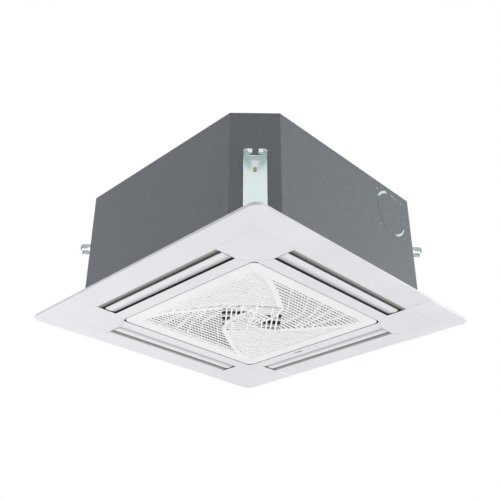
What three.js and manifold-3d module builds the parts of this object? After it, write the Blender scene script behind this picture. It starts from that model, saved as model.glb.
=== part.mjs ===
// Ceiling cassette air conditioner for a 600 mm ceiling grid, blowing out on its four sides.
// Millimetres, +Z up. The origin is the centre of the opening at the underside of the ceiling:
// the casing stands above it and the decorative panel hangs just below it.
// front is -Y, back is +Y, left is -X and right is +X.
import * as THREE from "three";
import { mergeVertices } from "three/addons/utils/BufferGeometryUtils.js";
import Module from "manifold-3d";

const wasm = await Module();
wasm.setup();

// ---- Driving dimensions -------------------------------------------------------------------

// Casing
const CASING_WIDTH = 570;
const CASING_BOTTOM = 12;
const CASING_TOP = 272;
const CORNER_CUT = 68;
const SHEET = 1.2;
const FIT = 0.4; // room left between pieces that touch
const HOLE_ROOM = 1; // room left round pipes and grommets
const TAB_DEPTH = 38;
const TAB_WIDTH = 56;
const FOAM = 20;
const FOAM_TOP = 8;

// Fresh air knock-out in the front wall
const KNOCKOUT_RADIUS = 51;
const KNOCKOUT_X = 145;
const KNOCKOUT_DROP = 65; // its centre below the casing's top
const SLIT_WIDTH = 2.2;
const SLIT_TIE = 9;
const COLLAR_HOLE_RADIUS = 2.2;
const COLLAR_HOLE_OFFSET = 45;

// Hangers on the cut corners, slotted for a 10 mm rod
const HANGER_WIDTH = 44;
const HANGER_STRIP = 2;
const HANGER_BOTTOM = 22;
const HANGER_HEIGHT = 166;
const HANGER_REACH = 29;
const ROD_SLOT_MOUTH = 11.5;
const ROD_SLOT_WIDE = 22;
const ROD_SLOT_START = 8.7;
const ROD_SLOT_STEP = 15;
const PRONG_RADIUS = 8;
const LIP_DROP = 6;
const HANGER_SCREW_Z = 139;
const SCREW_HEAD_RADIUS = 5.2;
const SCREW_HEAD_HEIGHT = 3;
const SCREW_RADIUS = 2.5;
const SCREW_ROOM = 0.3;
const HANGER_SCREW_REACH = 9;

// Decorative panel
const PANEL_WIDTH = 670;
const RIM_HEIGHT = 6;
const PANEL_DROP = 8;
const PANEL_RADIUS = 18;
const FACET_WIDTH = 54;
const PANEL_TOP = 9;
const PANEL_WALL = 3;
const FLANGE_MARGIN = 23; // the panel's back box reaches this far past the outlets

// Intake grille in the middle of the panel
const GRILLE_WIDTH = 391.2;
const GRILLE_GAP = 2;
const GRILLE_RADIUS = 15;
const OPENING_RADIUS = 11; // tighter than the grille's, so that the grille's corners can swing
const GRILLE_BORDER = 17;
const GRILLE_DEPTH = 13;
const SLAT_PITCH = 9.9;
const SLAT_WIDTH = 4.4;
const SLAT_DEPTH = 3.4;
const FIN_WIDTH = 1.6;
const RIDGE_WIDTH = 4;
const DIAMOND_LONG = 78;
const DIAMOND_SHORT = 5;
const DIAMOND_WALL = 6;
const CORE_HALF = 22;
const DISH = 3; // how far the middle lies above the face
const FACE_STEP = 0.3; // small steps between the grille's crossing ribs
const RIDGE_BENDS = [[147, -112], [126, -72], [100, -33]]; // the front right ridge, from its corner inwards

// The cross fins of the front sector: where each leaves the border, and its bends from there inwards
const FIN_LINES = [
  { start: -67, bends: [[-12, -120], [16, -60]] },
  { start: 30, bends: [[47, -105], [62, -20]] },
  { start: 120, bends: [[98, -95], [82, -10]] },
];

// Air outlets and their vanes, one on each side
const OUTLET_BORDER = 30.4;
const OUTLET_WIDTH = 30;
const OUTLET_LENGTH = 356;
const FLARE_WIDTH = 18;
const FLARE_HEIGHT = 14;
const FLARE_STEPS = 8;
const SCOOP_DEPTH = 1.6;
const VANE_INNER_GAP = 5;
const VANE_END_GAP = 2.5;
const VANE_THICKNESS = 2;
const PIVOT_OFFSET = 12;
const PIVOT_Z = 6;
const PIN_RADIUS = 3;
const PIN_ROOM = 0.3;
const EAR_THICKNESS = 3;
const VANE_MOTOR_RADIUS = 10;
const VANE_MOTOR_LENGTH = 18;
const VANE_MOTOR_WALL = 6;

// Corner covers of the panel, over the panel screws
const COVER_THICKNESS = 2.2;
const COVER_GAP = 0.4;
const COVER_BEND_INSET = 7.6; // sets how closely a cover bends round the grille's corner
const PANEL_SCREW_INSET = 21;

// Heat exchanger
const COIL_GAP = 12;
const COIL_DEPTH = 36;
const COIL_CORNER = 60;
const COIL_END = 150;
const BEND_COUNT = 6;
const BEND_RADIUS = 9;
const BEND_TUBE = 3.5;

// Fan
const FAN_RADIUS = 150;
const FAN_EYE = 112;
const FAN_BOTTOM = 64;
const FAN_SKIN = 3;
const BLADE_COUNT = 7;
const BLADE_INNER = 98;
const BLADE_SWEEP = 34;
const HUB_RADIUS = 16;
const HUB_DROP = 42; // the hub's lower end below the hub disc's rim
const HUB_HEIGHT = 24;
const SHAFT_RADIUS = 6;
const MOTOR_RADIUS = 48;
const MOTOR_HEIGHT = 75.6;
const MOTOR_DROP = 6.4; // the motor's top below the casing's top
const MOTOR_BORE_DEPTH = 24;
const BRACKET_RADIUS = 56;
const NUT_WIDTH = 20;
const NUT_HEIGHT = 9;

// Bell mouth and drain pan
const BELL_THROAT = 104;
const BELL_FLANGE = 146;
const BELL_CURVE = 28;
const BELL_TOP = 70;
const BELL_SKIN = 2.5;
const BELL_FLANGE_ROOM = 0.3;
const PAN_TOP = 50;
const PAN_HOLE = 134;
const TROUGH_FLOOR = 32;
const TROUGH_ROOM = 3;
const SUMP_FAR = 241;

// Drain pump, float and drain pipe, in the back right corner
const PUMP_X = 222;
const PUMP_Y = 198;
const PUMP_RADIUS = 18;
const PUMP_TOP = 108;
const FLOAT_X = 191;
const FLOAT_Y = 224;
const FLOAT_RADIUS = 7.5;
const FLOAT_HEIGHT = 14;
const STEM_RADIUS = 2;
const DRAIN_RADIUS = 13;
const DRAIN_WALL = 2.5;
const DRAIN_Z = 195;
const PIPE_REACH = 45;

// Refrigerant pipes, through the back wall
const PIPE_X = 197;
const PIPE_Y = 180;
const GAS_RADIUS = 6.35;
const GAS_Z = 172;
const LIQUID_RADIUS = 3.175;
const LIQUID_Z = 122;
const PIPE_WALL = 1;
const PIPE_BEND = 22;
const WINDOW_HALF_WIDTH = 13;
const WINDOW_BOTTOM = 102;
const WINDOW_TOP = 196;
const PLATE_MARGIN = 5;
const PLATE_THICKNESS = 1.5;
const GAS_NUT = 26;
const LIQUID_NUT = 17;
const FLARE_NUT_LENGTH = 20;
const FLARE_NUT_INSET = 6;

// Control box beside the bell mouth, and the cable inlet
const BOX_NEAR = 150;
const BOX_FAR = 172;
const BOX_LENGTH = 220;
const BOX_TOP = 44;
const BOX_WALL = 1.2;
const TERMINAL_LENGTH = 44;
const TERMINAL_HEIGHT = 14;
const TERMINAL_PITCH = 13;
const TERMINAL_SLOT = 8;
const TERMINAL_ROOM = 60; // the circuit board leaves this length free for the terminal block
const LID_THICKNESS = 1.2;
const BOARD_THICKNESS = 1.6;
const GROMMET_Y = -197;
const GROMMET_Z = 70;
const GROMMET_RADIUS = 10;
const GROMMET_BORE = 6;
const GROMMET_LIP = 4;

// Filter, grille catches and signals
const FILTER_INSET = 16;
const FILTER_THICKNESS = 3;
const CATCH_SPREAD = 110;
const CATCH_WIDTH = 16;
const CATCH_LENGTH = 14;
const CATCH_HEIGHT = 2.4;
const CATCH_SEAT_TOP = 9.2;
const HINGE_PIN_RADIUS = 1.8;
const HINGE_INSET = 4.6;
const HINGE_Z = -4.5;
const HINGE_PIN_REACH = 2.2;
const SIGNAL_OFFSET = 12.5;
const WINDOW_LENGTH = 23;
const WINDOW_WIDTH = 7;
const WINDOW_CENTRE = 48.5;
const LAMP_COUNT = 4;
const DISPLAY_WIDTH = 14;
const LAMP_PITCH = 19.5;
const LAMP_START = -44;
const LAMP_RADIUS = 1.5;

// ---- Sizes worked out from them -----------------------------------------------------------

const QUARTER = Math.PI / 2;
const CASING_HALF = CASING_WIDTH / 2;
const CORNER_PLANE = (2 * CASING_HALF - CORNER_CUT) / Math.SQRT2;
const LINER_HALF = CASING_HALF - SHEET - FIT;
const LINER_TOP = CASING_TOP - SHEET - FIT;
const LINER_ROOF = LINER_TOP - FOAM_TOP;
const KNOCKOUT_Z = CASING_TOP - KNOCKOUT_DROP;
const MOTOR_TOP = CASING_TOP - MOTOR_DROP;
const MOTOR_BOTTOM = MOTOR_TOP - MOTOR_HEIGHT;
const FAN_TOP = MOTOR_BOTTOM;
const HUB_BOTTOM = FAN_TOP - HUB_DROP;
const HUB_TOP = HUB_BOTTOM + HUB_HEIGHT;
const PAN_BOTTOM = CASING_BOTTOM + SHEET + FIT;
const PANEL_HALF = PANEL_WIDTH / 2;
const FACET_IN = PANEL_HALF - FACET_WIDTH;
const GRILLE_HALF = GRILLE_WIDTH / 2;
const OPENING_HALF = GRILLE_HALF + GRILLE_GAP;
const OUTLET_IN = OPENING_HALF + OUTLET_BORDER;
const OUTLET_OUT = OUTLET_IN + OUTLET_WIDTH;
const FLARE_OUT = OUTLET_OUT + FLARE_WIDTH;
const PANEL_FLANGE = OUTLET_OUT + FLANGE_MARGIN;
const OUTLET_HALF = OUTLET_LENGTH / 2;
const PIVOT_N = OUTLET_IN + PIVOT_OFFSET;
const VANE_HALF = OUTLET_HALF - VANE_END_GAP;
const VANE_MOTOR_START = OUTLET_HALF + VANE_MOTOR_WALL;
const COVER_FLOOR = -PANEL_DROP + COVER_THICKNESS + FIT;
const SCREW_DIAGONAL = CORNER_PLANE - PANEL_SCREW_INSET;
const SCREW_XY = SCREW_DIAGONAL / Math.SQRT2;
const COIL_OUT = OUTLET_IN - COIL_GAP;
const COIL_IN = COIL_OUT - COIL_DEPTH;
const COIL_MIDDLE = (COIL_IN + COIL_OUT) / 2;
const COIL_BOTTOM = TROUGH_FLOOR + 2;
const COIL_TOP = LINER_ROOF - FIT;
const PIN_HOLE = PIN_RADIUS + PIN_ROOM;
const SCREW_HOLE = SCREW_RADIUS + SCREW_ROOM;
const SIGNAL_X = OPENING_HALF + SIGNAL_OFFSET;
const HINGE_Y = GRILLE_HALF - HINGE_INSET;
const GRILLE_TOP = GRILLE_DEPTH - PANEL_DROP;
const SIDES = ["right", "back", "left", "front"];
const CORNERS = ["back_right", "back_left", "front_left", "front_right"];

// ---- Materials ----------------------------------------------------------------------------

function finish(color, roughness, metalness) {
  return new THREE.MeshStandardMaterial({ color, roughness, metalness });
}

const galvanised = () => finish(0x84878a, 0.45, 0.7);
const whitePlastic = () => finish(0xeeeff1, 0.4, 0);
const whiteFoam = () => finish(0xe6e7e5, 0.9, 0);
const blackPlastic = () => finish(0x2a2b2e, 0.5, 0);
const zincYellow = () => finish(0xc9b06a, 0.4, 0.8);
const copper = () => finish(0xb87352, 0.35, 1);
const brass = () => finish(0xc8a552, 0.35, 1);
const aluminium = () => finish(0xb9bcbe, 0.4, 0.9);

// ---- Solids -------------------------------------------------------------------------------

// A closed geometry becomes a solid once its shared vertices are merged.
function solid(geometry) {
  const bare = geometry.clone();
  bare.deleteAttribute("normal");
  bare.deleteAttribute("uv");
  const merged = mergeVertices(bare, 1e-4);
  const index = merged.index.array;
  const triangles = [];
  for (let i = 0; i < index.length; i += 3) {
    const corners = [index[i], index[i + 1], index[i + 2]];
    if (new Set(corners).size === 3) {
      triangles.push(...corners);
    }
  }
  const vertProperties = merged.attributes.position.array;
  return new wasm.Manifold(new wasm.Mesh({ numProp: 3, vertProperties, triVerts: new Uint32Array(triangles) }));
}

function join(first, ...others) {
  return others.reduce((whole, piece) => whole.add(piece), first);
}

function cut(body, ...tools) {
  return tools.reduce((rest, tool) => rest.subtract(tool), body);
}

function shapeOf(points) {
  return new THREE.Shape(points.map(([x, y]) => new THREE.Vector2(x, y)));
}

function boxGeometry(x0, x1, y0, y1, z0, z1) {
  const geometry = new THREE.BoxGeometry(x1 - x0, y1 - y0, z1 - z0);
  return geometry.translate((x0 + x1) / 2, (y0 + y1) / 2, (z0 + z1) / 2);
}

function box(x0, x1, y0, y1, z0, z1) {
  return solid(boxGeometry(x0, x1, y0, y1, z0, z1));
}

// A flat shape raised from z0 to z1.
function prismGeometry(shape, z0, z1, curveSegments = 3) {
  const geometry = new THREE.ExtrudeGeometry(shape, { depth: z1 - z0, bevelEnabled: false, curveSegments });
  return geometry.translate(0, 0, z0);
}

function prism(shape, z0, z1, curveSegments = 3) {
  return solid(prismGeometry(shape, z0, z1, curveSegments));
}

// A section drawn in X and Z, swept along Y from y0 to y1.
function barGeometry(shape, y0, y1, curveSegments = 3) {
  const geometry = new THREE.ExtrudeGeometry(shape, { depth: y1 - y0, bevelEnabled: false, curveSegments });
  return geometry.rotateX(QUARTER).translate(0, y1, 0);
}

// A section of radius and height turned about the Z axis.
function turned(points, segments) {
  const profile = points.map(([r, z]) => new THREE.Vector2(r, z));
  return solid(new THREE.LatheGeometry(profile, segments).rotateX(QUARTER));
}

function cylinderZ(x, y, radius, z0, z1, segments = 12) {
  const geometry = new THREE.CylinderGeometry(radius, radius, z1 - z0, segments);
  return solid(geometry.rotateX(QUARTER).translate(x, y, (z0 + z1) / 2));
}

function cylinderYGeometry(x, z, radius, y0, y1, segments = 12) {
  const geometry = new THREE.CylinderGeometry(radius, radius, y1 - y0, segments);
  return geometry.translate(x, (y0 + y1) / 2, z);
}

function cylinderXGeometry(y, z, radius, x0, x1, segments = 12) {
  const geometry = new THREE.CylinderGeometry(radius, radius, x1 - x0, segments);
  return geometry.rotateZ(-QUARTER).translate((x0 + x1) / 2, y, z);
}

// The same geometry once on each of the four sides.
function onFourSides(geometry) {
  return SIDES.map((side, turns) => solid(geometry.clone().rotateZ(turns * QUARTER)));
}

function roundedSquare(half, radius) {
  const shape = new THREE.Shape();
  const flat = half - radius;
  shape.moveTo(half, -flat);
  shape.absarc(flat, flat, radius, 0, QUARTER, false);
  shape.absarc(-flat, flat, radius, QUARTER, 2 * QUARTER, false);
  shape.absarc(-flat, -flat, radius, 2 * QUARTER, 3 * QUARTER, false);
  shape.absarc(flat, -flat, radius, 3 * QUARTER, 4 * QUARTER, false);
  return shape;
}

// A square with its corners cut off; inset moves all eight sides in alike.
function octagon(half, cornerCut, inset = 0) {
  const side = half - inset;
  const end = side - cornerCut + (2 - Math.SQRT2) * inset;
  return shapeOf([
    [side, -end], [side, end], [end, side], [-end, side],
    [-side, end], [-side, -end], [-end, -side], [end, -side],
  ]);
}

function ring(outer, inner, z0, z1, curveSegments = 3) {
  outer.holes.push(inner);
  return prism(outer, z0, z1, curveSegments);
}

function hexagon(x, y, acrossFlats) {
  const radius = acrossFlats / Math.sqrt(3);
  const corners = [0, 1, 2, 3, 4, 5].map((i) => (i * Math.PI) / 3);
  return shapeOf(corners.map((angle) => [x + radius * Math.cos(angle), y + radius * Math.sin(angle)]));
}

// A route through a list of points, taken exactly, for tubes with bends.
class Route extends THREE.Curve {
  constructor(points) {
    super();
    this.points = points;
  }

  getPoint(t) {
    const place = t * (this.points.length - 1);
    const start = Math.min(Math.floor(place), this.points.length - 2);
    return this.points[start].clone().lerp(this.points[start + 1], place - start);
  }

  getPointAt(t) {
    return this.getPoint(t);
  }

  getTangentAt(t) {
    const step = 0.5 / (this.points.length - 1);
    const ahead = this.getPoint(Math.min(1, t + step));
    const behind = this.getPoint(Math.max(0, t - step));
    return ahead.sub(behind).normalize();
  }
}

// Points from start to end with a quarter bend at the corner.
function elbow(start, corner, end, radius, steps = 5) {
  const into = corner.clone().sub(start).normalize();
  const out = end.clone().sub(corner).normalize();
  const centre = corner.clone().addScaledVector(into, -radius).addScaledVector(out, radius);
  const points = [start];
  for (let i = 0; i <= steps; i += 1) {
    const angle = (QUARTER * i) / steps;
    const along = into.clone().multiplyScalar(radius * Math.sin(angle));
    points.push(centre.clone().add(along).addScaledVector(out, -radius * Math.cos(angle)));
  }
  points.push(end);
  return points;
}

// A full circle gets twice as many sides as its curveSegments.
function hollowTube(points, radius, wall, sides = 10) {
  const section = new THREE.Shape().absarc(0, 0, radius, 0, 4 * QUARTER, false);
  section.holes.push(new THREE.Path().absarc(0, 0, radius - wall, 0, 4 * QUARTER, true));
  const options = { steps: points.length - 1, curveSegments: sides / 2, extrudePath: new Route(points) };
  return solid(new THREE.ExtrudeGeometry(section, options));
}

function rod(points, radius, sides = 6) {
  const section = new THREE.Shape().absarc(0, 0, radius, 0, 4 * QUARTER, false);
  const options = { steps: points.length - 1, curveSegments: sides / 2, extrudePath: new Route(points) };
  return solid(new THREE.ExtrudeGeometry(section, options));
}

const unit = new THREE.Group();

function add(name, body, material, place = {}) {
  const data = body.getMesh();
  const geometry = new THREE.BufferGeometry();
  geometry.setAttribute("position", new THREE.BufferAttribute(data.vertProperties, 3));
  geometry.setIndex(new THREE.BufferAttribute(data.triVerts, 1));
  geometry.computeVertexNormals();
  const mesh = new THREE.Mesh(geometry, material);
  mesh.name = name;
  mesh.position.set(...(place.position ?? [0, 0, 0]));
  mesh.rotation.z = place.turn ?? 0;
  unit.add(mesh);
}

// ---- Casing -------------------------------------------------------------------------------

// One of the four arc slits that leave the knock-out disc hanging on its ties.
function knockoutSlit(quarter) {
  const tie = SLIT_TIE / 2 / KNOCKOUT_RADIUS;
  const start = quarter * QUARTER + tie;
  const end = (quarter + 1) * QUARTER - tie;
  const slit = new THREE.Shape();
  slit.absarc(KNOCKOUT_X, KNOCKOUT_Z, KNOCKOUT_RADIUS + SLIT_WIDTH / 2, start, end, false);
  slit.absarc(KNOCKOUT_X, KNOCKOUT_Z, KNOCKOUT_RADIUS - SLIT_WIDTH / 2, end, start, true);
  return solid(barGeometry(slit, -CASING_HALF - 1, -LINER_HALF, 4));
}

function collarHole(side, level) {
  const x = KNOCKOUT_X + side * COLLAR_HOLE_OFFSET;
  const z = KNOCKOUT_Z + level * COLLAR_HOLE_OFFSET;
  return solid(cylinderYGeometry(x, z, COLLAR_HOLE_RADIUS, -CASING_HALF - 1, -LINER_HALF, 8));
}

// The window for the refrigerant pipes, from inside the back wall to outside it.
function pipeWindow(inner) {
  const left = PIPE_X - WINDOW_HALF_WIDTH;
  const right = PIPE_X + WINDOW_HALF_WIDTH;
  return box(left, right, inner, CASING_HALF + 1, WINDOW_BOTTOM, WINDOW_TOP);
}

function drainHole(inner, radius) {
  return solid(cylinderXGeometry(PUMP_Y, DRAIN_Z, radius, inner, CASING_HALF + 1));
}

function cableHole(inner, radius) {
  return solid(cylinderXGeometry(GROMMET_Y, GROMMET_Z, radius, inner, CASING_HALF + 1));
}

// A hole on each cut corner, square to it, from depth inside its plane outwards.
function hangerScrewHoles(radius, depth) {
  const near = CORNER_PLANE - depth;
  const hole = cylinderXGeometry(0, HANGER_SCREW_Z, radius, near, CORNER_PLANE + 1);
  return onFourSides(hole.rotateZ(QUARTER / 2));
}

function panelScrewHoles(radius, z0, z1) {
  const geometry = new THREE.CylinderGeometry(radius, radius, z1 - z0, 12);
  return onFourSides(geometry.rotateX(QUARTER).translate(SCREW_XY, SCREW_XY, (z0 + z1) / 2));
}

// The wall all round, with a tab turned in under each cut corner for the panel screws.
function sideWrap() {
  const outer = octagon(CASING_HALF, CORNER_CUT);
  const inner = octagon(CASING_HALF, CORNER_CUT, SHEET);
  const wall = ring(outer, inner, CASING_BOTTOM, LINER_TOP);
  const tabIn = CORNER_PLANE - TAB_DEPTH;
  const tab = boxGeometry(
    tabIn, CORNER_PLANE - SHEET / 2, -TAB_WIDTH / 2, TAB_WIDTH / 2, CASING_BOTTOM, CASING_BOTTOM + SHEET,
  );
  const tabs = onFourSides(tab.rotateZ(QUARTER / 2));
  const slits = [0, 1, 2, 3].map(knockoutSlit);
  const collarHoles = [collarHole(-1, -1), collarHole(1, -1), collarHole(1, 1), collarHole(-1, 1)];
  return cut(
    join(wall, ...tabs), ...slits, ...collarHoles, pipeWindow(LINER_HALF),
    drainHole(LINER_HALF, DRAIN_RADIUS + HOLE_ROOM), cableHole(LINER_HALF, GROMMET_RADIUS + HOLE_ROOM),
    ...hangerScrewHoles(SCREW_HOLE, SHEET + FIT / 2),
    ...panelScrewHoles(SCREW_HOLE, CASING_BOTTOM - 1, PAN_BOTTOM),
  );
}

function topPlate() {
  return prism(octagon(CASING_HALF, CORNER_CUT), CASING_TOP - SHEET, CASING_TOP);
}

// The foam inside the wall and under the top plate, open below.
function foamLiner() {
  const block = prism(octagon(CASING_HALF, CORNER_CUT, SHEET + FIT), PAN_TOP + FIT, LINER_TOP);
  const inside = octagon(CASING_HALF, CORNER_CUT, SHEET + FIT + FOAM);
  const linerInner = LINER_HALF - 2 * FOAM;
  return cut(
    block, prism(inside, PAN_TOP, LINER_ROOF),
    cylinderZ(0, 0, BRACKET_RADIUS + 4, LINER_ROOF - 1, LINER_TOP + 1, 32),
    pipeWindow(linerInner), drainHole(linerInner, DRAIN_RADIUS + HOLE_ROOM),
    cableHole(linerInner, GROMMET_RADIUS + HOLE_ROOM),
    solid(cylinderYGeometry(KNOCKOUT_X, KNOCKOUT_Z, KNOCKOUT_RADIUS - 4, -LINER_HALF - 1, -linerInner, 24)),
    ...hangerScrewHoles(SCREW_RADIUS + 1.5, HANGER_SCREW_REACH + 2),
  );
}

// A bent strip: its leg lies on the cut corner and its flange carries a rod in a T slot.
// Local X points out of the corner.
function hanger() {
  const near = CORNER_PLANE + FIT;
  const tip = near + HANGER_REACH;
  const half = HANGER_WIDTH / 2;
  const mouth = ROD_SLOT_MOUTH / 2;
  const wide = ROD_SLOT_WIDE / 2;
  const flange = new THREE.Shape();
  flange.moveTo(near, -half);
  flange.lineTo(tip - PRONG_RADIUS, -half);
  flange.absarc(tip - PRONG_RADIUS, -half + PRONG_RADIUS, PRONG_RADIUS, -QUARTER, 0, false);
  flange.lineTo(tip, -mouth);
  flange.lineTo(near + ROD_SLOT_STEP, -mouth);
  flange.lineTo(near + ROD_SLOT_STEP, -wide);
  flange.lineTo(near + ROD_SLOT_START, -wide);
  flange.lineTo(near + ROD_SLOT_START, wide);
  flange.lineTo(near + ROD_SLOT_STEP, wide);
  flange.lineTo(near + ROD_SLOT_STEP, mouth);
  flange.lineTo(tip, mouth);
  flange.absarc(tip - PRONG_RADIUS, half - PRONG_RADIUS, PRONG_RADIUS, 0, QUARTER, false);
  flange.lineTo(near, half);
  const underside = HANGER_HEIGHT - HANGER_STRIP;
  const leg = box(near, near + HANGER_STRIP, -half, half, HANGER_BOTTOM, HANGER_HEIGHT);
  const lipOut = half - PRONG_RADIUS;
  const lips = [[-lipOut, -mouth], [mouth, lipOut]].map(([low, high]) =>
    box(tip - HANGER_STRIP, tip, low, high, underside - LIP_DROP, HANGER_HEIGHT));
  const past = near + HANGER_STRIP + 1;
  const screwHole = solid(cylinderXGeometry(0, HANGER_SCREW_Z, SCREW_HOLE, near - 1, past));
  return cut(join(leg, prism(flange, underside, HANGER_HEIGHT), ...lips), screwHole);
}

function hangerScrew() {
  const seat = CORNER_PLANE + FIT + HANGER_STRIP + FIT;
  const head = cylinderXGeometry(0, HANGER_SCREW_Z, SCREW_HEAD_RADIUS, seat, seat + SCREW_HEAD_HEIGHT, 12);
  const inner = CORNER_PLANE - HANGER_SCREW_REACH;
  const shank = cylinderXGeometry(0, HANGER_SCREW_Z, SCREW_RADIUS, inner, seat + 1, 8);
  return join(solid(head), solid(shank));
}

function casing() {
  add("side_wrap", sideWrap(), galvanised());
  add("top_plate", topPlate(), galvanised());
  add("foam_liner", foamLiner(), whiteFoam());
  CORNERS.forEach((corner, turns) => {
    const turn = (turns + 0.5) * QUARTER;
    add(`hanger_${corner}`, hanger(), finish(0xd5e2e0, 0.35, 0.5), { turn });
    add(`hanger_screw_${corner}`, hangerScrew(), zincYellow(), { turn });
  });
}

// ---- Heat exchanger and pipes -------------------------------------------------------------

// Finned block bent round the fan, open at the back right corner.
function coil() {
  const outer = roundedSquare(COIL_OUT, COIL_CORNER);
  const inner = roundedSquare(COIL_IN, COIL_CORNER - COIL_DEPTH);
  const block = ring(outer, inner, COIL_BOTTOM, COIL_TOP);
  return cut(block, box(COIL_END, COIL_OUT + 1, COIL_END, COIL_OUT + 1, COIL_BOTTOM - 1, COIL_TOP + 1));
}

// End plate of the coil with its return bends. Local X points away from the coil.
function coilEndPlate() {
  const half = COIL_DEPTH / 2;
  const plate = box(0, SHEET, -half, half, COIL_BOTTOM, COIL_TOP);
  const pitch = (COIL_TOP - COIL_BOTTOM) / BEND_COUNT;
  const bends = [];
  for (let i = 0; i < BEND_COUNT; i += 1) {
    const z = COIL_BOTTOM + pitch * (i + 0.5);
    const points = [new THREE.Vector3(SHEET / 2, -BEND_RADIUS, z)];
    for (let step = 0; step <= 4; step += 1) {
      const angle = (Math.PI * step) / 4 - QUARTER;
      const x = 2 * SHEET + BEND_RADIUS * Math.cos(angle);
      points.push(new THREE.Vector3(x, BEND_RADIUS * Math.sin(angle), z));
    }
    points.push(new THREE.Vector3(SHEET / 2, BEND_RADIUS, z));
    bends.push(rod(points, BEND_TUBE));
  }
  return join(plate, ...bends);
}

// A pipe from a riser beside the coil, bent to leave through the back wall.
function refrigerantPipe(radius, riserEnd, z) {
  const start = new THREE.Vector3(PIPE_X, PIPE_Y, riserEnd);
  const corner = new THREE.Vector3(PIPE_X, PIPE_Y, z);
  const end = new THREE.Vector3(PIPE_X, CASING_HALF + PIPE_REACH, z);
  return hollowTube(elbow(start, corner, end, PIPE_BEND), radius, PIPE_WALL);
}

function flareNut(radius, acrossFlats, z) {
  const far = CASING_HALF + PIPE_REACH - FLARE_NUT_INSET;
  const hex = solid(barGeometry(hexagon(PIPE_X, z, acrossFlats), far - FLARE_NUT_LENGTH, far));
  return cut(hex, solid(cylinderYGeometry(PIPE_X, z, radius + FIT, far - FLARE_NUT_LENGTH - 1, far + 1)));
}

function pipePlate() {
  const left = PIPE_X - WINDOW_HALF_WIDTH - PLATE_MARGIN;
  const right = PIPE_X + WINDOW_HALF_WIDTH + PLATE_MARGIN;
  const near = CASING_HALF + FIT;
  const far = near + PLATE_THICKNESS;
  const plate = box(left, right, near, far, WINDOW_BOTTOM - PLATE_MARGIN, WINDOW_TOP + PLATE_MARGIN);
  return cut(
    plate,
    solid(cylinderYGeometry(PIPE_X, GAS_Z, GAS_RADIUS + HOLE_ROOM, near - 1, far + 1)),
    solid(cylinderYGeometry(PIPE_X, LIQUID_Z, LIQUID_RADIUS + HOLE_ROOM, near - 1, far + 1)),
  );
}

function heatExchanger() {
  add("coil", coil(), aluminium());
  const gap = COIL_END + FIT;
  add("coil_end_plate_back", coilEndPlate(), copper(), { position: [gap, COIL_MIDDLE, 0] });
  add("coil_end_plate_right", coilEndPlate(), copper(), { position: [COIL_MIDDLE, gap, 0], turn: QUARTER });
  add("gas_pipe", refrigerantPipe(GAS_RADIUS, COIL_TOP - 20, GAS_Z), copper());
  add("liquid_pipe", refrigerantPipe(LIQUID_RADIUS, PAN_TOP + 12, LIQUID_Z), copper());
  add("gas_flare_nut", flareNut(GAS_RADIUS, GAS_NUT, GAS_Z), brass());
  add("liquid_flare_nut", flareNut(LIQUID_RADIUS, LIQUID_NUT, LIQUID_Z), brass());
  add("pipe_plate", pipePlate(), galvanised());
}

// ---- Fan ----------------------------------------------------------------------------------

// Height of the shroud ring's underside at its inner, middle and outer radius.
function shroudLine() {
  const middle = (FAN_EYE + FAN_RADIUS) / 2;
  return [[FAN_EYE, FAN_BOTTOM], [FAN_EYE + 5, FAN_BOTTOM + 9], [middle + 3, FAN_BOTTOM + 19],
    [FAN_RADIUS, FAN_BOTTOM + 23]];
}

// One backward-curved blade, before it is trimmed to the hub disc and the shroud.
function bladeGeometry() {
  const half = FAN_SKIN / 2;
  const sweep = (-BLADE_SWEEP * Math.PI) / 180;
  const tipX = (FAN_RADIUS + 2) * Math.cos(sweep);
  const tipY = (FAN_RADIUS + 2) * Math.sin(sweep);
  const bendX = (BLADE_INNER + FAN_RADIUS) / 2;
  const blade = new THREE.Shape();
  blade.moveTo(BLADE_INNER, -half);
  blade.quadraticCurveTo(bendX - half, -half, tipX - half, tipY - half);
  blade.lineTo(tipX + half, tipY + half);
  blade.quadraticCurveTo(bendX + half, half, BLADE_INNER, half);
  return prismGeometry(blade, FAN_BOTTOM, FAN_TOP + FAN_SKIN, 4);
}

// Turbo fan: dished hub disc, blades and shroud ring, moulded in one.
function turboFan() {
  const slope = FAN_EYE - 12;
  const bore = SHAFT_RADIUS + PIN_ROOM;
  const dish = HUB_BOTTOM + 8;
  const hub = turned([
    [bore, HUB_BOTTOM], [HUB_RADIUS, HUB_BOTTOM], [MOTOR_RADIUS - 8, dish], [slope, FAN_TOP],
    [FAN_RADIUS, FAN_TOP], [FAN_RADIUS, FAN_TOP + FAN_SKIN], [slope - 1, FAN_TOP + FAN_SKIN],
    [MOTOR_RADIUS - 8, dish + FAN_SKIN + 1], [HUB_RADIUS, dish + FAN_SKIN], [HUB_RADIUS, HUB_TOP],
    [bore, HUB_TOP], [bore, HUB_BOTTOM],
  ], 28);
  const under = shroudLine();
  const over = under.map(([r, z]) => [r, z + FAN_SKIN]).reverse();
  const shroud = turned([...under, ...over, under[0]], 28);
  const middle = under.map(([r, z]) => [r, z + FAN_SKIN / 2]);
  const start = BLADE_INNER - 2;
  const overBell = BELL_TOP + 6;
  const space = turned([
    [start, overBell], [FAN_EYE - 1, overBell], ...middle, [FAN_RADIUS, FAN_TOP + FAN_SKIN / 2],
    [slope, FAN_TOP + FAN_SKIN / 2], [start, FAN_TOP - 2], [start, overBell],
  ], 56);
  const blades = [];
  for (let i = 0; i < BLADE_COUNT; i += 1) {
    const blade = bladeGeometry().rotateZ((4 * QUARTER * i) / BLADE_COUNT);
    blades.push(solid(blade).intersect(space));
  }
  return join(hub, shroud, ...blades);
}

function motorShaft() {
  return cylinderZ(0, 0, SHAFT_RADIUS, HUB_BOTTOM - NUT_HEIGHT - 2, MOTOR_BOTTOM + MOTOR_BORE_DEPTH - 2, 16);
}

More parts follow.
